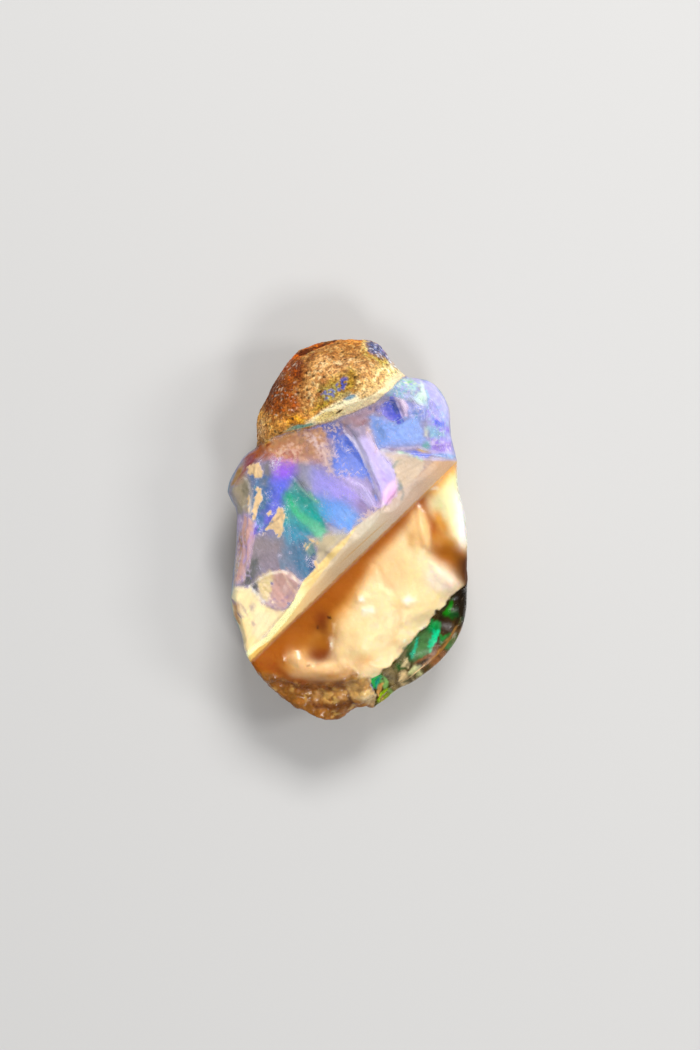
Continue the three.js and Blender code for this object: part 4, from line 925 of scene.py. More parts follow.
# The wall is fine grey beige layers with one yellow one; its lower brink is a cream bevel.
WALL_TONES = (  # (along the wall, colour)
    (-14, "#ffd67c"), (-11, "#ffe6a2"), (-7, "#eed2a4"), (-4, "#cdb898"), (-1, "#c8b69c"),
        (2, "#ccc2ae"),
    (5, "#d2beae"), (8, "#d2bcaa"), (11, "#dcb896"),
)
tones = ramp(along, *zip(*WALL_TONES))
tones *= (1.22 + 0.03 * banding - 0.24 * smooth(0.6, 2.9, past))[:, None]
tones *= (1 - 0.14 * smooth(3, 5, along) * smooth(2.2, 1.3, past))[:, None]
yellow = smooth(0.07, 0.01, np.abs(past - 2.0 - 0.03 * along))
yellow *= smooth(-4, -1, along) * smooth(4.5, 2, along)
tones = toward(tones, "#c79a3c", 0.7 * yellow)
BRINK = (  # (along the wall, where its top edge lies, width of the bevel)
    (-15, 1.8, 0.5), (-13.3, 2.1, 0.5), (-10.5, 1.7, 0.66), (-8.3, 1.25, 0.7), (-6.9, 0.65, 1.1),
        (-4.1, 0.47, 0.76),
    (-0.8, 0.36, 0.52), (-0.1, 0.4, 0.32), (0.9, 0.4, 0.06), (2, 0.5, 0), (3.7, 0.72, 0),
        (4.8, 1.1, 0), (12, 1.1, 0),
)
stations, edges, widths = zip(*BRINK)
over = past - np.interp(along, stations, edges) + 0.05 * noise(rubbed, 0.6, 150)
bevel_width = np.interp(along, stations, widths)
on_wall = opal * smooth(-0.06, 0.08, over) * np.maximum(below_crest, smooth(3.4, 3, x))
on_bevel = opal * smooth(-0.05, 0.06, over) * smooth(0.05, -0.08, over - bevel_width)
on_bevel *= smooth(0, 0.1, bevel_width)
fire = toward(fire, tones, on_wall)
creamy_band = toward(np.tile(shade("#f2d694"), (count, 1)), "#fffacc", smooth(-6, -8.4, along))
creamy_band *= (1.04 + 0.06 * streaky(46, 3, 0.2, 151))[:, None]
fire = toward(fire, creamy_band, on_bevel)
foot_tone = toward(np.tile(shade("#bb8038"), (count, 1)), "#f8bc60", smooth(7, 9.5, along))
at_foot = on_wall * smooth(-0.26, -0.04, ledge_side + 0.05 * noise(rubbed, 0.4, 152))
fire = toward(fire, foot_tone, at_foot)

# Painted glow: the fire layer gives off light of its own colour, standing in for the play of
# colour.
PAINTED_GLOW = 0.76  # share of its colour that the fire sends out in any light
SCATTER = 0.32  # share of its colour that it scatters
fire_finish, nodes, links, bsdf = new_finish(
    "fire layer", IOR=1.45, Roughness=0.5, Specular_IOR_Level=0.0, Emission_Strength=PAINTED_GLOW
)
lit = tinted(fire_finish, bsdf, grainy(fire_finish, 0.2, 0.88, 1.12, seed=6, stretch=(-52, 2)))
links.new(lit, bsdf.inputs["Emission Color"])
dimmed = node(nodes, "VectorMath", operation="SCALE", Scale=SCATTER)
links.new(lit, dimmed.inputs[0])
links.new(dimmed.outputs["Vector"], bsdf.inputs["Base Color"])
links.new(grainy(fire_finish, 0.5, 0.35, 0.6, seed=7), bsdf.inputs["Roughness"])
bumped(fire_finish, bsdf, grainy(fire_finish, 0.5, 0, 1, seed=8, stretch=(-50, 3)), 0.03)

# Torn scraps of cream potch and a film of finer crumbs still cling to the break.
SCRAPS = [
    [(-10.0, 6.2), (-9.4, 6.5), (-8.7, 6.7), (-8.4, 5.7), (-8.5, 5.1), (-9.2, 5.2), (-9.9, 5.5)],
    [(-8.9, 4.2), (-8.6, 4.0), (-8.5, 3.2), (-8.7, 2.4), (-9.0, 1.8), (-9.2, 1.0), (-9.5, 0.8),
        (-9.5, 1.9), (-9.3, 2.8), (-9.2, 3.6)],
    [(-6.9, 2.3), (-6.3, 2.1), (-6.1, 1.2), (-6.4, 0.9), (-6.3, 0.0), (-6.6, -0.9), (-7.0, -0.8),
        (-7.3, 0.0), (-8.2, -0.1), (-7.6, 0.8), (-7.2, 1.6)],
    [(-8.3, 1.6), (-7.6, 1.9), (-7.5, 1.5), (-8.0, 1.35)],
    [(-9.85, 3.6), (-9.7, 3.4), (-9.7, 1.7), (-9.85, 1.4), (-9.95, 1.9)],
    [(-3.4, -3.0), (-2.9, -3.2), (-3.0, -4.0), (-3.3, -3.7)],
    [(-4.5, -1.7), (-4.1, -1.2), (-4.0, -1.3), (-4.3, -1.7)],
    [(-5.1, -1.8), (-4.8, -1.5), (-4.7, -1.6), (-5.0, -1.85)],
    [(-4.1, -1.9), (-3.7, -1.3), (-3.6, -1.4), (-3.9, -1.9)],
    [(-4.0, -0.7), (-2.9, -1.3), (-2.8, -1.5), (-3.9, -1.1)],
]
FILM = [  # (colour, cover, outline)
    ("#dcbcb0", 0.7, [(-4.4, 9.6), (-2.6, 9.4), (-1.9, 8.4), (-1.5, 7.4), (-1.5, 6.2),
        (-1.1, 5.5), (-1.9, 5.6), (-2.5, 6.8), (-3.3, 7.8)]),
    ("#c9b2c8", 0.1, [(-1.8, 9.9), (-1.0, 9.4), (-0.6, 7.4), (0.2, 6.2), (1.6, 6.0), (1.2, 5.2),
        (-1.2, 5.0), (-1.6, 7.8)]),
    ("#e6c4b0", 0.75, [(0.9, 0.9), (1.9, 1.8), (3.2, 2.3), (2.6, 1.6), (1.3, 0.6)]),
    ("#e8d0b0", 0.5, [(6.6, 2.4), (8, 4.4), (9.3, 5.6), (9.4, 5.2), (8.2, 3.8), (7.2, 2.2)]),
    ("#dcb498", 0.35, [(-7.8, 8), (-5.4, 8.8), (-4.2, 8.4), (-4.6, 7.2), (-7, 7)]),
    ("#f2dcb4", 0.6, [(-8.7, -5), (-7.8, -4.6), (-7.6, -6.6), (-7, -7.9), (-8, -7.3),
        (-8.6, -6.4)]),
    ("#c4a49c", 0.3, [(-2.6, 10.2), (-0.4, 10.8), (-0.4, 9.8), (-2.2, 9.2)]),
    ("#e0c8a0", 0.2, [(-8.6, 0.3), (-7.6, -0.3), (-8.4, -0.8), (-9, -0.4)]),
]
torn = 0.14 * layered(rubbed, 0.55, 130, 3) + 0.2 * streaky(68, 0.8, 0.18, 134)
flakes = np.zeros(count)
for outline in SCRAPS:
    flakes = np.maximum(flakes, smooth(0.02, -0.1, reach(x, y, outline) + torn))
fresh = (1 - crust) * top * smooth(0.0, 0.2, -ledge_side)
flakes *= fresh
grit = layered(rubbed, 0.42, 140, 3, 0.8) + 0.5 * streaky(-60, 0.9, 0.25, 143)
film = np.tile(np.append(shade("#e4bda8"), 0.0), (count, 1))
for colour, cover, outline in FILM:
    inside = smooth(0.6, -0.5, reach(x, y, outline))
    share = fresh * inside * smooth(0.1, 0.6, grit + 0.9 * (cover + inside) - 0.9)
    film += (np.append(shade(colour), 1.0) - film) * share[:, None]
relief += 0.05 * flakes**2 * (1 + 0.6 * noise(rubbed, 0.4, 131)) + 0.012 * film[:, 3]

# Sharp edges of the facets, with painted highlights as fine pale lines where they catch the light;
# a few lines are darker edges.
LINES = [  # (colour, half width, strength, points)
    ("#f0e4ec", 0.1, 0.68, [(-0.3, 9.8), (0.0, 9.4), (0.4, 9.0), (1.0, 8.2), (1.45, 7.3),
        (1.9, 6.3), (2.3, 5.6), (2.55, 4.7), (2.85, 3.8)]),
    ("#f8e4f4", 0.12, 0.5, [(4.95, 5.1), (4.2, 4.3), (3.6, 3.4), (3.3, 2.6)]),
    ("#fff0f0", 0.1, 0.51, [(3.1, 3.6), (3.3, 2.9), (3.6, 2.5)]),
    ("#f2f0f0", 0.1, 0.77, [(3.4, 8.0), (4.2, 7.75), (5.2, 7.6)]),
    ("#a8e6b0", 0.1, 0.59, [(5.0, 7.72), (5.8, 7.6), (6.6, 7.35), (7.4, 6.95)]),
    ("#c8c4f4", 0.1, 0.59, [(7.2, 7.1), (8.2, 6.95), (9.4, 6.95), (11, 7.0)]),
    ("#cfc0e0", 0.1, 0.51, [(3.8, 8.2), (5.2, 8.05), (7, 8.2), (8.4, 7.75), (10.6, 7.6)]),
    ("#fffdf2", 0.1, 0.81, [(-9.75, -5.72), (-9.0, -6.5), (-8.3, -7.3)]),
    ("#8d7aa6", 0.12, 0.6, [(-8.2, -7.35), (-7.5, -7.75), (-6.6, -7.9), (-5.9, -7.7)]),
    ("#f6ead2", 0.1, 0.68, [(-9.75, -5.72), (-8.6, -4.85), (-7.6, -4.35), (-6.4, -4.15),
        (-5.6, -4.5), (-4.8, -5.3)]),
    ("#f0cdb8", 0.1, 0.68, [(-6.4, -4.3), (-5.95, -5.2), (-5.2, -6.2)]),
    ("#ecd8f0", 0.1, 0.68, [(4.8, 12.9), (5.15, 12.2), (5.5, 11.2)]),
    ("#f2e6f2", 0.1, 0.6, [(5.4, 12.9), (5.7, 12.1), (5.75, 11.2)]),
    ("#7c9488", 0.1, 0.51, [(4.5, 6.2), (4.9, 6.7), (5.3, 6.9)]),
    ("#7c8c88", 0.1, 0.51, [(5.1, 4.9), (5.35, 4.3), (5.6, 3.6), (5.4, 3.0)]),
    ("#e4c4b0", 0.1, 0.51, [(0.2, -0.4), (0.8, 0.5), (1.4, 1.1), (2.2, 1.6), (3.4, 2.05)]),
    ("#8f8a9c", 0.1, 0.34, [(0.17, -0.4), (-0.35, -0.9), (-1.1, -1.6)]),
    ("#7cc8a8", 0.1, 0.2, [(-5.2, 5.0), (-4.7, 4.1), (-3.6, 3.2), (-2.9, 2.5)]),
    ("#cfc6b0", 0.1, 0.51, [(-10.3, 5.2), (-9.85, 4.6), (-9.6, 3.6), (-9.7, 1.6)]),
    ("#c8bce8", 0.1, 0.51, [(-10.9, 1.4), (-10.6, -0.6), (-10.2, -2.4), (-10.5, -4.8)]),
    ("#b8a4ee", 0.1, 0.51, [(-9.1, 0.8), (-9.8, -1.2), (-10.3, -3.4)]),
    ("#f4f6f4", 0.1, 0.59, [(7.95, 12.4), (7.7, 13.6), (7.4, 14.9)]),
    ("#d8c8f8", 0.1, 0.51, [(8.2, 11.9), (9.2, 10.9), (10.2, 10.0)]),
    ("#e8def8", 0.3, 0.5, [(8.6, 15.1), (9.7, 13.4), (10.5, 11.4)]),
    ("#b9c8f4", 0.1, 0.42, [(5.9, 13.3), (6.6, 13.1), (7.4, 12.4), (8.4, 12.2)]),
]
lines = np.zeros((count, 4))
for colour, width, strength, points in LINES:
    far = reach(x, y, points + points[-2:0:-1]) + 0.04 * noise(rubbed, 0.5, 136)
    broken = smooth(-0.5, 0.3, noise(rubbed, 0.7, 137)) * 0.8 + 0.2
    share = strength * broken * smooth(2.2 * width, 0.6 * width, far) * (1 - crust)
    lines += (np.append(shade(colour), 1) - lines) * share[:, None]
lines[:, 3] *= top

# ---- Green fire of the seam ----
# Beyond the potch's lower right edge the stone is brown clear opal. Under it lie flakes of
# green and teal fire, specks of cream potch and a brown sandy margin, all grown in one.

SEAM = [  # (colours, softness, streak bearing, outline)
    ("#1e1406", 0.7, None, [(9.2, -6.6), (12.6, -4.6), (12.6, -9.6), (11.6, -9.4), (10.4, -8.4),
        (9.2, -8)]),
    ("#2e2c10", 0.4, None, [(9.2, -7.6), (10.2, -6.6), (11.0, -7.4), (10.9, -9), (9.4, -9.2)]),
    ("#4a7c48", 0.35, 65, [(6.9, -10.5), (8, -9.9), (8.5, -10.6), (8.4, -12), (8, -13),
        (6.9, -13.4), (6.3, -12.8), (5.8, -11.8), (6.5, -11)]),
    ("#2f5c34", 0.2, 60, [(5.9, -12.4), (6.5, -12.2), (6.6, -13.2), (6.2, -13.8), (5.9, -13.2)]),
    ("#7c7856", 0.3, 60, [(5.0, -12.5), (5.9, -11.9), (6, -13), (5.6, -13.7), (4.9, -13.4)]),
    ("#2c5a2a", 0.25, 30, [(4.6, -13.4), (5.8, -13.4), (6, -14.2), (5, -14.6)]),
    ("#80724c", 0.3, -80, [(3.4, -13.9), (4.8, -13.5), (5, -14.6), (4.9, -16.8), (4.3, -15.8),
        (4.2, -15), (3.6, -14.6)]),
    ("#0f8c08", 0.16, 70, [(9.6, -8.5), (10.1, -7.9), (10.4, -7.1), (10.7, -7.5), (10.6, -8.4),
        (11.0, -8.9), (10.4, -9.1), (10, -8.7)]),
    ("#0f4418", 0.25, 0, [(10.3, -8.6), (11.4, -8), (11.6, -8.8), (10.6, -9.3)]),
    ("#33220c", 0.2, 40, [(9.4, -9.0), (10.4, -9.3), (10.8, -10.4), (9.9, -10.8), (9.3, -10.0)]),
    ("#0a8c44", 0.18, 40, [(8.1, -9.8), (8.5, -9.1), (9.2, -9.3), (9.5, -9.8), (9.3, -10.4),
        (8.3, -10.5)]),
    ("#05c890", 0.14, 72, [(8.7, -10.1), (9.25, -10.1), (9.1, -11), (8.8, -12), (8.4, -12.6),
        (8.3, -11.9), (8.5, -11)]),
    ("#0e8434", 0.16, 40, [(9.4, -11.6), (9.3, -10.5), (9.7, -11.1), (10.6, -10.6), (10.7, -10.8),
        (10, -11.3), (9.6, -11.8)]),
    ("#2abc98", 0.1, 72, [(6.95, -10.9), (7.2, -11.4), (6.9, -12.6), (6.5, -13.1), (6.6, -12.4)]),
    ("#1fb456", 0.2, 20, [(2.3, -14.9), (3.3, -14.5), (3.7, -14.9), (3.5, -15.5), (2.8, -15.9),
        (2.4, -15.5)]),
    ("#109c84", 0.12, 70, [(3.0, -14.7), (3.35, -14.8), (3.3, -15.5), (3.05, -16.1),
        (2.9, -15.6)]),
    ("#7aac60", 0.2, -70, [(3.6, -14.8), (4.2, -15.6), (4.3, -16.4), (3.7, -16.0)]),
    ("#94bc14", 0.25, 20, [(3.1, -17.2), (3.6, -16.6), (4.3, -16.1), (4.6, -16.9), (4.1, -17.6),
        (3.4, -17.9)]),
    ("#8088b4", 0.1, None, [(1.9, -16.0), (2.5, -15.4), (2.7, -16.0), (2.2, -16.4)]),
    ("#cdb88c", 0.14, 70, [(5.3, -15.4), (5.3, -14.6), (5.8, -14.3), (6.2, -14.8), (6, -15.4),
        (5.6, -15.9)]),
    ("#c4b890", 0.12, 60, [(5.7, -14.0), (6.0, -13.1), (6.4, -13.4), (6.3, -14.1)]),
    ("#b9c08c", 0.16, 60, [(6.4, -14.7), (6.9, -13.7), (7.5, -13.9), (7.0, -15.2), (6.6, -15.4)]),
    ("#d2a05c", 0.12, None, [(3, -16.5), (3.2, -15.8), (3.7, -15.7), (3.6, -16.4), (3.2, -17)]),
    ("#845420 #a87c40", 0.3, 40, [(4.6, -17.8), (6, -16.2), (7.5, -14.6), (7.7, -13.7),
        (9.2, -12.6), (10.8, -10.9), (12, -9.6), (12.8, -10.4), (9, -16), (5, -19)]),
    ("#8a5a34", 0.25, 20, [(6.9, -13.6), (7.4, -13.1), (8.6, -13.2), (9.6, -12), (9.2, -11.8),
        (8.2, -12.7)]),
    # Painted highlight: a thin pale line along the seam's outer edge.
    ("#e0caa0", 0.1, 40, [(4.9, -17.3), (5.3, -16.4), (6.4, -15.6), (7.6, -14.3), (7.9, -13.9),
        (7.7, -14.7), (6.2, -16.4)]),
]
brown = np.tile(shade("#3a2808"), (count, 1))
brown = paint(brown, SEAM, 0.2)
brown *= (1 + 0.35 * layered(rubbed, 0.7, 84) + 0.3 * streaky(55, 1.2, 0.3, 86))[:, None]

# ---- Stone body ----
# The opaque bulk of the piece in one closed mesh. Under the clear opal and the clear seam
# its surface is the fire layer, sunk below the outer skin.

# The flat break that it rests on stays flat, and no point leaves the solid's box.
outer = rubbed + normal * (relief * top.clip(0.25, 1))[:, None]
outer[:, 2] = np.where(skin[:, 2] < 0.05, 0, np.maximum(outer[:, 2], 0))
limits = np.array(cad_box) / MM
size, room = np.ptp(outer, axis=0), np.ptp(limits, axis=0)
outer = (outer - outer.min(0)) * np.minimum(1, room / size) + np.maximum(outer.min(0), limits[0])
outer -= np.maximum(outer.max(0) - limits[1], 0)
normal = facing(outer)
bend = relax(np.linalg.norm(normal - relax(normal, 3), axis=1), 1)

OPAL_DEPTH = 0.9  # how far the fire layer lies below the skin, mm
SEAM_DEPTH = 0.7  # the same under the brown seam, mm
SETTLES = 14  # rounds that even out the sunk fire layer
inward = -relax(normal, 60)
inward /= np.linalg.norm(inward, axis=1, keepdims=True)
opal_margin = np.minimum.reduce([-crust_side, -ledge_side * 0.8, -under_side * 0.8])
opal_depth = OPAL_DEPTH * smooth(0, 1.1, opal_margin) * (1 - 0.6 * wall)
opal_depth *= 1 + 0.2 * noise(rubbed, 2.6, 110)
opal_depth *= 1 - 0.7 * relax(smooth(0.03, 0.14, bend), 10)
opal_depth *= 0.3 + 0.7 * relax(smooth(0.45, 0.8, normal[:, 2]), 6)
seam_margin = np.minimum.reduce([seam_side, ledge_side, -under_side * 0.8])
seam_depth = SEAM_DEPTH * smooth(0, 0.9, seam_margin)
sunk = np.maximum(opal_depth, seam_depth)
bed = outer + inward * sunk[:, None]
hold = smooth(0.05, 0.4, sunk)
for _ in range(SETTLES):
    bed += 0.5 * hold[:, None] * (around(bed) - bed)

tint = toward(fire, creamy, ledge)
tint = toward(tint, rubble, rim)
tint = toward(tint, brown, seam)
tint = toward(tint, sandy, crust)
tint = toward(tint, old, under).clip(0.002, 0.98)


def mesh_of(name, points, faces, layers):
    """A smooth-shaded object in metres, with colour and value layers on its points."""
    me = bpy.data.meshes.new(name)
    me.vertices.add(len(points))
    me.vertices.foreach_set("co", (points * MM).astype(np.float32).ravel())
    me.loops.add(faces.size)
    me.loops.foreach_set("vertex_index", faces.astype(np.int32).ravel())
    me.polygons.add(len(faces))
    me.polygons.foreach_set("loop_start", np.arange(0, faces.size, 4, dtype=np.int32))
    me.update(calc_edges=True)
    me.validate()
    me.polygons.foreach_set("use_smooth", np.ones(len(faces), bool))
    for layer, values in layers.items():
        if values.ndim == 2:
            a = me.attributes.new(layer, "FLOAT_COLOR", "POINT")
            full = np.concatenate([values, np.ones((len(values), 1))], 1)
            a.data.foreach_set("color", full.astype(np.float32).ravel())
        else:
            a = me.attributes.new(layer, "FLOAT", "POINT")
            a.data.foreach_set("value", values.astype(np.float32))
    ob = bpy.data.objects.new(name, me)
    bpy.context.scene.collection.objects.link(ob)
    return ob


FACES = 190000  # most triangles in one piece
PLAIN_FIRST = 20  # how much sooner the plain parts are thinned than the rest


def thin_out(ob, plain):
    """Thins the net to FACES triangles, soonest where plain is 1 and last where it is 0."""
    triangles = 2 * len(ob.data.polygons)
    if triangles <= FACES:
        return
    group = ob.vertex_groups.new(name="plain")
    for share in np.unique(plain.round(1)):
        if share > 0:
            group.add(np.nonzero(plain.round(1) == share)[0].tolist(), float(share), "REPLACE")
    thin = ob.modifiers.new("thin out", "DECIMATE")
    thin.ratio = FACES / triangles
    thin.vertex_group = "plain"
    thin.vertex_group_factor = PLAIN_FIRST
    me = bpy.data.meshes.new_from_object(ob.evaluated_get(bpy.context.evaluated_depsgraph_get()))
    ob.modifiers.remove(thin)
    ob.vertex_groups.clear()
    points = np.empty(3 * len(me.vertices), np.float32)
    me.vertices.foreach_get("co", points)
    points = points.reshape(-1, 3).clip(*cad_box)
    me.vertices.foreach_set("co", points.astype(np.float32).ravel())
    ob.data = me


def belongs(piece):
    """The piece is a part of the one stone, and stands for its solid."""
    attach(piece, "root")
    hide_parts("rough_opal")


body = mesh_of("stone_body", bed, quads, {"tint": tint})
for m in (crust_finish, fire_finish, potch_finish, rim_finish, under_finish):
    body.data.materials.append(m)
CLEAR_EDGE = 0.1  # the clear bodies end this far inside their zones, mm
bare = (opal + seam) * top * (np.maximum(opal_margin, seam_margin) < CLEAR_EDGE)
shares = np.column_stack([
    crust * top + bare * (crust_side > ledge_side),
    (opal + seam) * top - bare,
    potch * top + bare * (crust_side <= ledge_side),
    rim * top,
    under,
])
face_zone = shares[quads].mean(1).argmax(1)
body.data.polygons.foreach_set("material_index", face_zone.astype(np.int32))
thin_out(body, np.maximum.reduce([smooth(0.5, 1, under), 0.5 * potch, 0.2 * opal]))
belongs(body)

# ---- Crystal opal ----
# The clear, slightly milky opal over the fire layer, in one closed piece that thins out
# towards the crust and the foot of the wall. Its facets are as broken, some of them frosted.

OVERLAP = 0.15  # how far a clear body reaches below the fire layer, mm


def clear_layer(name, margin, layers):
    """Closed clear body between the outer skin and just below the fire layer."""
    skin_side = quads[(margin[quads] > CLEAR_EDGE).all(1)]
    used, renamed = np.unique(skin_side, return_inverse=True)
    skin_side = renamed.reshape(-1, 4)
    n = len(used)
    bed_side = skin_side[:, ::-1] + n
    pairs = np.concatenate([skin_side[:, [i, (i + 1) % 4]] for i in range(4)])
    key = pairs[:, 0].astype(np.int64) * n + pairs[:, 1]
    back = pairs[:, 1].astype(np.int64) * n + pairs[:, 0]
    a, b = pairs[~np.isin(key, back)].T
    edge = np.stack([b, a, a + n, b + n], 1)
    points = np.concatenate([outer[used], bed[used] + inward[used] * OVERLAP])
    values = {k: np.concatenate([v[used], v[used]]) for k, v in layers.items()}
    ob = mesh_of(name, points, np.concatenate([skin_side, bed_side, edge]), values)
    thin_out(ob, np.repeat([0.0, 1.0], n))
    return ob


FROST = [  # (colour, cloudiness, softness, streak bearing, outline)
    ("#c49468", 0.34, 0.6, 20, [(-9, 8.6), (-7, 9.6), (-5, 10.3), (-2.4, 10.4), (-1.9, 9),
        (-2.4, 6.6), (-4.8, 6.8), (-7.7, 7.4), (-9.2, 7.9)]),
    ("#b29ca4", 0.35, 0.5, 25, [(-0.9, 10.8), (0.4, 11.5), (2.2, 12.2), (3.6, 12.6), (3.2, 11.7),
        (2.2, 11.3), (2.1, 10.2), (0.6, 10.1), (-0.4, 10.2)]),
    ("#dcc6ae", 0.65, 0.3, 30, [(3.4, 7.6), (5.2, 7.6), (6.6, 7.1), (7.6, 6.9), (9, 7.1), (11, 7),
        (8, 4), (4.8, 1.2), (4.0, 2.2), (5.3, 4.2), (4.7, 5.8), (4.4, 6.8)]),
    ("#d2b49e", 0.65, 0.14, 44, [(7.6, 7), (9, 7.05), (11.2, 6.9), (9.4, 5.2), (8.2, 4.2),
        (7.1, 5.2), (7.6, 6.2)]),
    ("#e0f2e4", 0.3, 0.14, None, [(7.2, 14.9), (7.6, 14.4), (7.7, 13.6), (7.9, 12.5), (7.6, 12.3),
        (7.1, 12.7), (6.6, 13.1), (7, 13.6)]),
    ("#fbe8bc", 0.45, 0.25, 60, [(-12.4, -5.6), (-9.8, -5.8), (-8, -7.6), (-6.4, -8.2),
        (-5.6, -7.6), (-6.2, -8.6), (-9.6, -12.4), (-11, -12), (-12.4, -8)]),
    ("#dccca0", 0.45, 0.14, -60, [(-9.1, -5.2), (-8, -4.4), (-7.4, -4.3), (-7.5, -6.2),
        (-7.9, -7.2), (-8.7, -6.4)]),
    ("#d6b4ac", 0.4, 0.14, -50, [(-7.4, -4.2), (-6.2, -4.0), (-5.2, -4.6), (-4.6, -5.4),
        (-5.3, -7), (-6, -8), (-7, -8), (-8, -7.4), (-7.6, -6)]),
    ("#8a3c04", 0.8, 0.3, 30, [(-8.9, 8.5), (-7.6, 8.7), (-8.7, 7.1), (-9.9, 5.9), (-11.0, 4.7),
        (-11.4, 6), (-10.8, 7.4), (-10, 8.1)]),
    ("#aa9c88", 0.35, 0.3, 80, [(-12.4, 4.2), (-11, 4.8), (-10.3, 5.3), (-9.9, 4.9), (-9.6, 4),
        (-9.7, 1.8), (-10.8, 1.6), (-11.4, 2.6)]),
    ("#d6c6a4", 0.45, 0.25, 40, [(-3.6, -1.0), (-2.6, -1), (-1.8, -0.4), (0.1, -0.4),
        (-1.6, -2.1), (-3, -3.6), (-3.2, -3), (-2.9, -2.2)]),
    ("#d0a498", 0.7, 0.3, 75, [(-11.8, -5.5), (-10.4, -5), (-9.4, -1), (-9.2, 0.8), (-10.2, 1.4),
        (-11.4, 1.2), (-11.4, -1), (-11.8, -4)]),
    ("#d4c6f4", 0.55, 0.2, -60, [(1.0, 8.9), (2.0, 9.6), (2.9, 8.2), (3.6, 7.3), (4.4, 6.2),
        (4.8, 5.2), (4.9, 3.4), (3.6, 2.3), (3.15, 2.6), (2.85, 3.8), (2.3, 5.5), (1.55, 7.4)]),
    ("#dcd6f4", 0.75, 0.14, -60, [(0.5, 9.3), (1.2, 8.9), (2.0, 7.4), (2.5, 6.2), (2.85, 5.0),
        (3.25, 3.7), (3.1, 3.2), (2.75, 4.0), (2.2, 5.5), (1.4, 7.2), (0.7, 8.5)]),
    ("#9cccc4", 0.06, 0.3, -48, [(-5.3, 4.9), (-4.4, 3.8), (-2.9, 2.4), (-2.3, 0.2), (-2.6, -1),
        (-3.6, -0.3), (-5, 0.2), (-6.4, 0.4), (-6.4, 2.2), (-6, 3.6)]),
    ("#acb4e4", 0.06, 0.3, 60, [(-9.4, 1.6), (-8.2, 1.4), (-7.4, 5.4), (-6, 5), (-6.2, 2.6),
        (-7.4, -0.4), (-9.2, -0.4)]),
    ("#a8b8a4", 0.35, 0.3, -60, [(-4.4, -1.2), (-3.4, -1.4), (-3.2, -2.4), (-3.8, -2.8),
        (-4.3, -2.0)]),
    ("#fed2f4", 0.55, 0.25, 60, [(3.2, 2.5), (3.5, 3.6), (4.3, 4.6), (4.9, 4.9), (4.9, 3.3),
        (4.1, 2.5)]),
]
frost = np.tile(np.append(shade("#c9c0d6"), 0.07), (count, 1))
frost[:, 3] += 0.03 * layered(rubbed, 1.8, 120)
frost = paint(frost, [((*shade(code), cloudy), *rest) for code, cloudy, *rest in FROST], 0.1)
# Pale frosting along the sharp bends of the facets: partly chipped edges, partly painted highlight.
edge_frost_and_highlight = smooth(0.05, 0.22, bend) * (0.6 + 0.6 * noise(rubbed, 0.8, 121))
sheer = opal * (1 - wall) * smooth(0.72, 0.45, normal[:, 2])


def cloudy_as(colours, cloudiness):
    """Colours with their cloudiness in a fourth column."""
    return np.column_stack([colours, np.broadcast_to(cloudiness, count)])


OPAQUE = 2.5  # cloudiness at which nothing shows through, with the grain taken off
frost = toward(frost, cloudy_as(fire * 1.06, 0.82), 0.9 * sheer)
frost = toward(frost, np.append(shade("#e4dcec"), 0.5), (0.6 * edge_frost_and_highlight * (1 - wall)).clip(0, 1))
frost = toward(frost, cloudy_as(tones * 1.05, 0.7), on_wall)
frost = toward(frost, cloudy_as(creamy_band, 0.7 - 0.45 * smooth(-6, -8.4, along)), on_bevel)
frost = toward(frost, cloudy_as(foot_tone, OPAQUE), at_foot)
frost = toward(frost, cloudy_as(film[:, :3], 0.75), film[:, 3])
scrap_tone = np.tile(np.append(shade("#e2bf8e"), 1.0), (count, 1))
scrap_tone *= (1 + 0.16 * noise(rubbed, 0.3, 141) + 0.1 * noise(rubbed, 0.8, 142))[:, None]
frost = toward(frost, scrap_tone, flakes)
frost[:, 3] += 0.35 * relax(chipped, 2) * smooth(0.45, 0.7, scallop)
edge_tone = lines[:, :3] / lines[:, 3:].clip(0.01)
frost = toward(frost, cloudy_as(edge_tone, 0.8), lines[:, 3])
haze, milk = frost[:, :3].clip(0.01, 0.98), frost[:, 3].clip(0.02, OPAQUE)

opal_glass = clear_layer("crystal_opal", opal_margin, {"milk": milk, "haze": haze})
clear_finish, nodes, links, bsdf = new_finish(
    "crystal opal", IOR=1.45, Specular_Tint=(0.4, 0.4, 0.4, 1)
)
haze_layer = node(nodes, "Attribute", attribute_name="haze")
links.new(haze_layer.outputs["Color"], bsdf.inputs["Base Color"])
cloud = node(nodes, "Attribute", attribute_name="milk")
# A sugary grain over the cloudy parts, and sparse milky specks everywhere.
sugar = node(nodes, "Math", operation="MULTIPLY", use_clamp=True)
links.new(cloud.outputs["Fac"], sugar.inputs[0])
links.new(grainy(clear_finish, 0.2, 0.4, 1.6, seed=24, stretch=(-58, 2)), sugar.inputs[1])
speck = node(nodes, "Math", operation="MULTIPLY", use_clamp=True)
links.new(grainy(clear_finish, 0.12, -2.1, 0.8, detail=1, seed=25), speck.inputs[0])
links.new(grainy(clear_finish, 1.8, -0.5, 0.9, detail=3, seed=26), speck.inputs[1])
misted = node(nodes, "Math", operation="ADD", use_clamp=True)
links.new(sugar.outputs["Value"], misted.inputs[0])
links.new(speck.outputs["Value"], misted.inputs[1])
clearness = node(nodes, "Math", operation="SUBTRACT")
clearness.inputs[0].default_value = 1
links.new(misted.outputs["Value"], clearness.inputs[1])
links.new(clearness.outputs["Value"], bsdf.inputs["Transmission Weight"])
worn = node(nodes, "Math", operation="MULTIPLY_ADD")
worn.inputs[1].default_value = 0.5
links.new(cloud.outputs["Fac"], worn.inputs[0])
links.new(grainy(clear_finish, 0.8, 0.07, 0.18, seed=20), worn.inputs[2])
links.new(worn.outputs["Value"], bsdf.inputs["Roughness"])
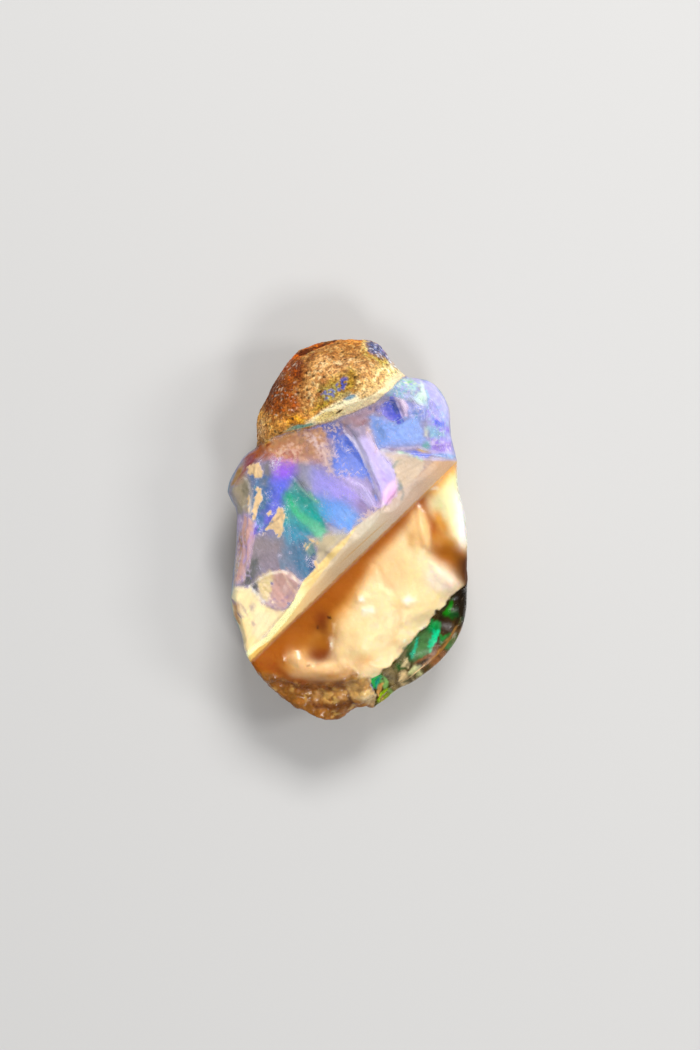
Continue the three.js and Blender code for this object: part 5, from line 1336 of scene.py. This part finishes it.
bumped(clear_finish, bsdf, grainy(clear_finish, 0.5, 0, 1, seed=21), 0.02)
opal_glass.data.materials.append(clear_finish)
opal_glass.visible_shadow = False
belongs(opal_glass)

# ---- Brown seam ----
# Thin clear brown opal over the green fire, glossy and a little rubbed. It grew against the
# potch, is one with the stone, and thins out to nothing along the potch's edge.

seam_glass = clear_layer("seam_opal", seam_margin, {})
seam_finish, _, links, bsdf = new_finish(
    "brown clear opal", IOR=1.45, Specular_Tint=(0.3, 0.3, 0.3, 1), Transmission_Weight=1.0,
    Base_Color=(*shade("#f2e2cc"), 1),
)
links.new(grainy(seam_finish, 0.6, 0.12, 0.3, seed=22), bsdf.inputs["Roughness"])
bumped(seam_finish, bsdf, grainy(seam_finish, 0.6, 0, 1, detail=3, seed=23), 0.01)
seam_glass.data.materials.append(seam_finish)
seam_glass.visible_shadow = False
belongs(seam_glass)

# ---- Floor, lights and camera ----
# A plain pale table, a soft window beyond the crust end, two small panels at the sides, and
# a camera straight above the stone.

TABLE = 3  # side of the table, m
bpy.ops.mesh.primitive_plane_add(size=TABLE)
floor = bpy.context.active_object
floor.name = "floor"
floor_finish, *_ = new_finish("pale table", Roughness=0.7, Base_Color=(0.6, 0.59, 0.575, 1))
floor.data.materials.append(floor_finish)

FACE_HEIGHT = 0.01  # of the opal face over the table, m


def lamp(name, place, width, height, power):
    """A soft rectangular light that looks at the stone. Sizes in metres, power in watts."""
    data = bpy.data.lights.new(name, "AREA")
    data.shape = "RECTANGLE"
    data.size, data.size_y = width, height
    data.energy = power
    ob = bpy.data.objects.new(name, data)
    bpy.context.scene.collection.objects.link(ob)
    ob.location = place
    look = Vector((0, 0, FACE_HEIGHT)) - Vector(place)
    ob.rotation_euler = look.to_track_quat("-Z", "Y").to_euler()


lamp("window", (0.05, 0.34, 0.36), 0.2, 0.16, 1.9)
lamp("side panel", (0.3, 0.02, 0.3), 0.08, 0.12, 0.4)
lamp("front panel", (0.1, -0.2, 0.36), 0.09, 0.09, 0.5)

world = bpy.data.worlds.new("room")
world.use_nodes = True
sky = world.node_tree.nodes["Background"]
sky.inputs["Color"].default_value = (0.95, 0.97, 1.0, 1)
sky.inputs["Strength"].default_value = 0.32
bpy.context.scene.world = world
bpy.context.scene.view_settings.view_transform = "Standard"

lens = bpy.data.cameras.new("camera")
lens.lens = 120
lens.sensor_width = 36
camera = bpy.data.objects.new("camera", lens)
bpy.context.scene.collection.objects.link(camera)
VIEW = 0.105  # long side of the view at the opal face, m
AIM = (0.00026, 0.00046)  # middle of the view, m
distance = VIEW * lens.lens / lens.sensor_width
camera.location = (*AIM, FACE_HEIGHT + distance)
lens.clip_start, lens.clip_end = 0.01, 10
bpy.context.scene.camera = camera
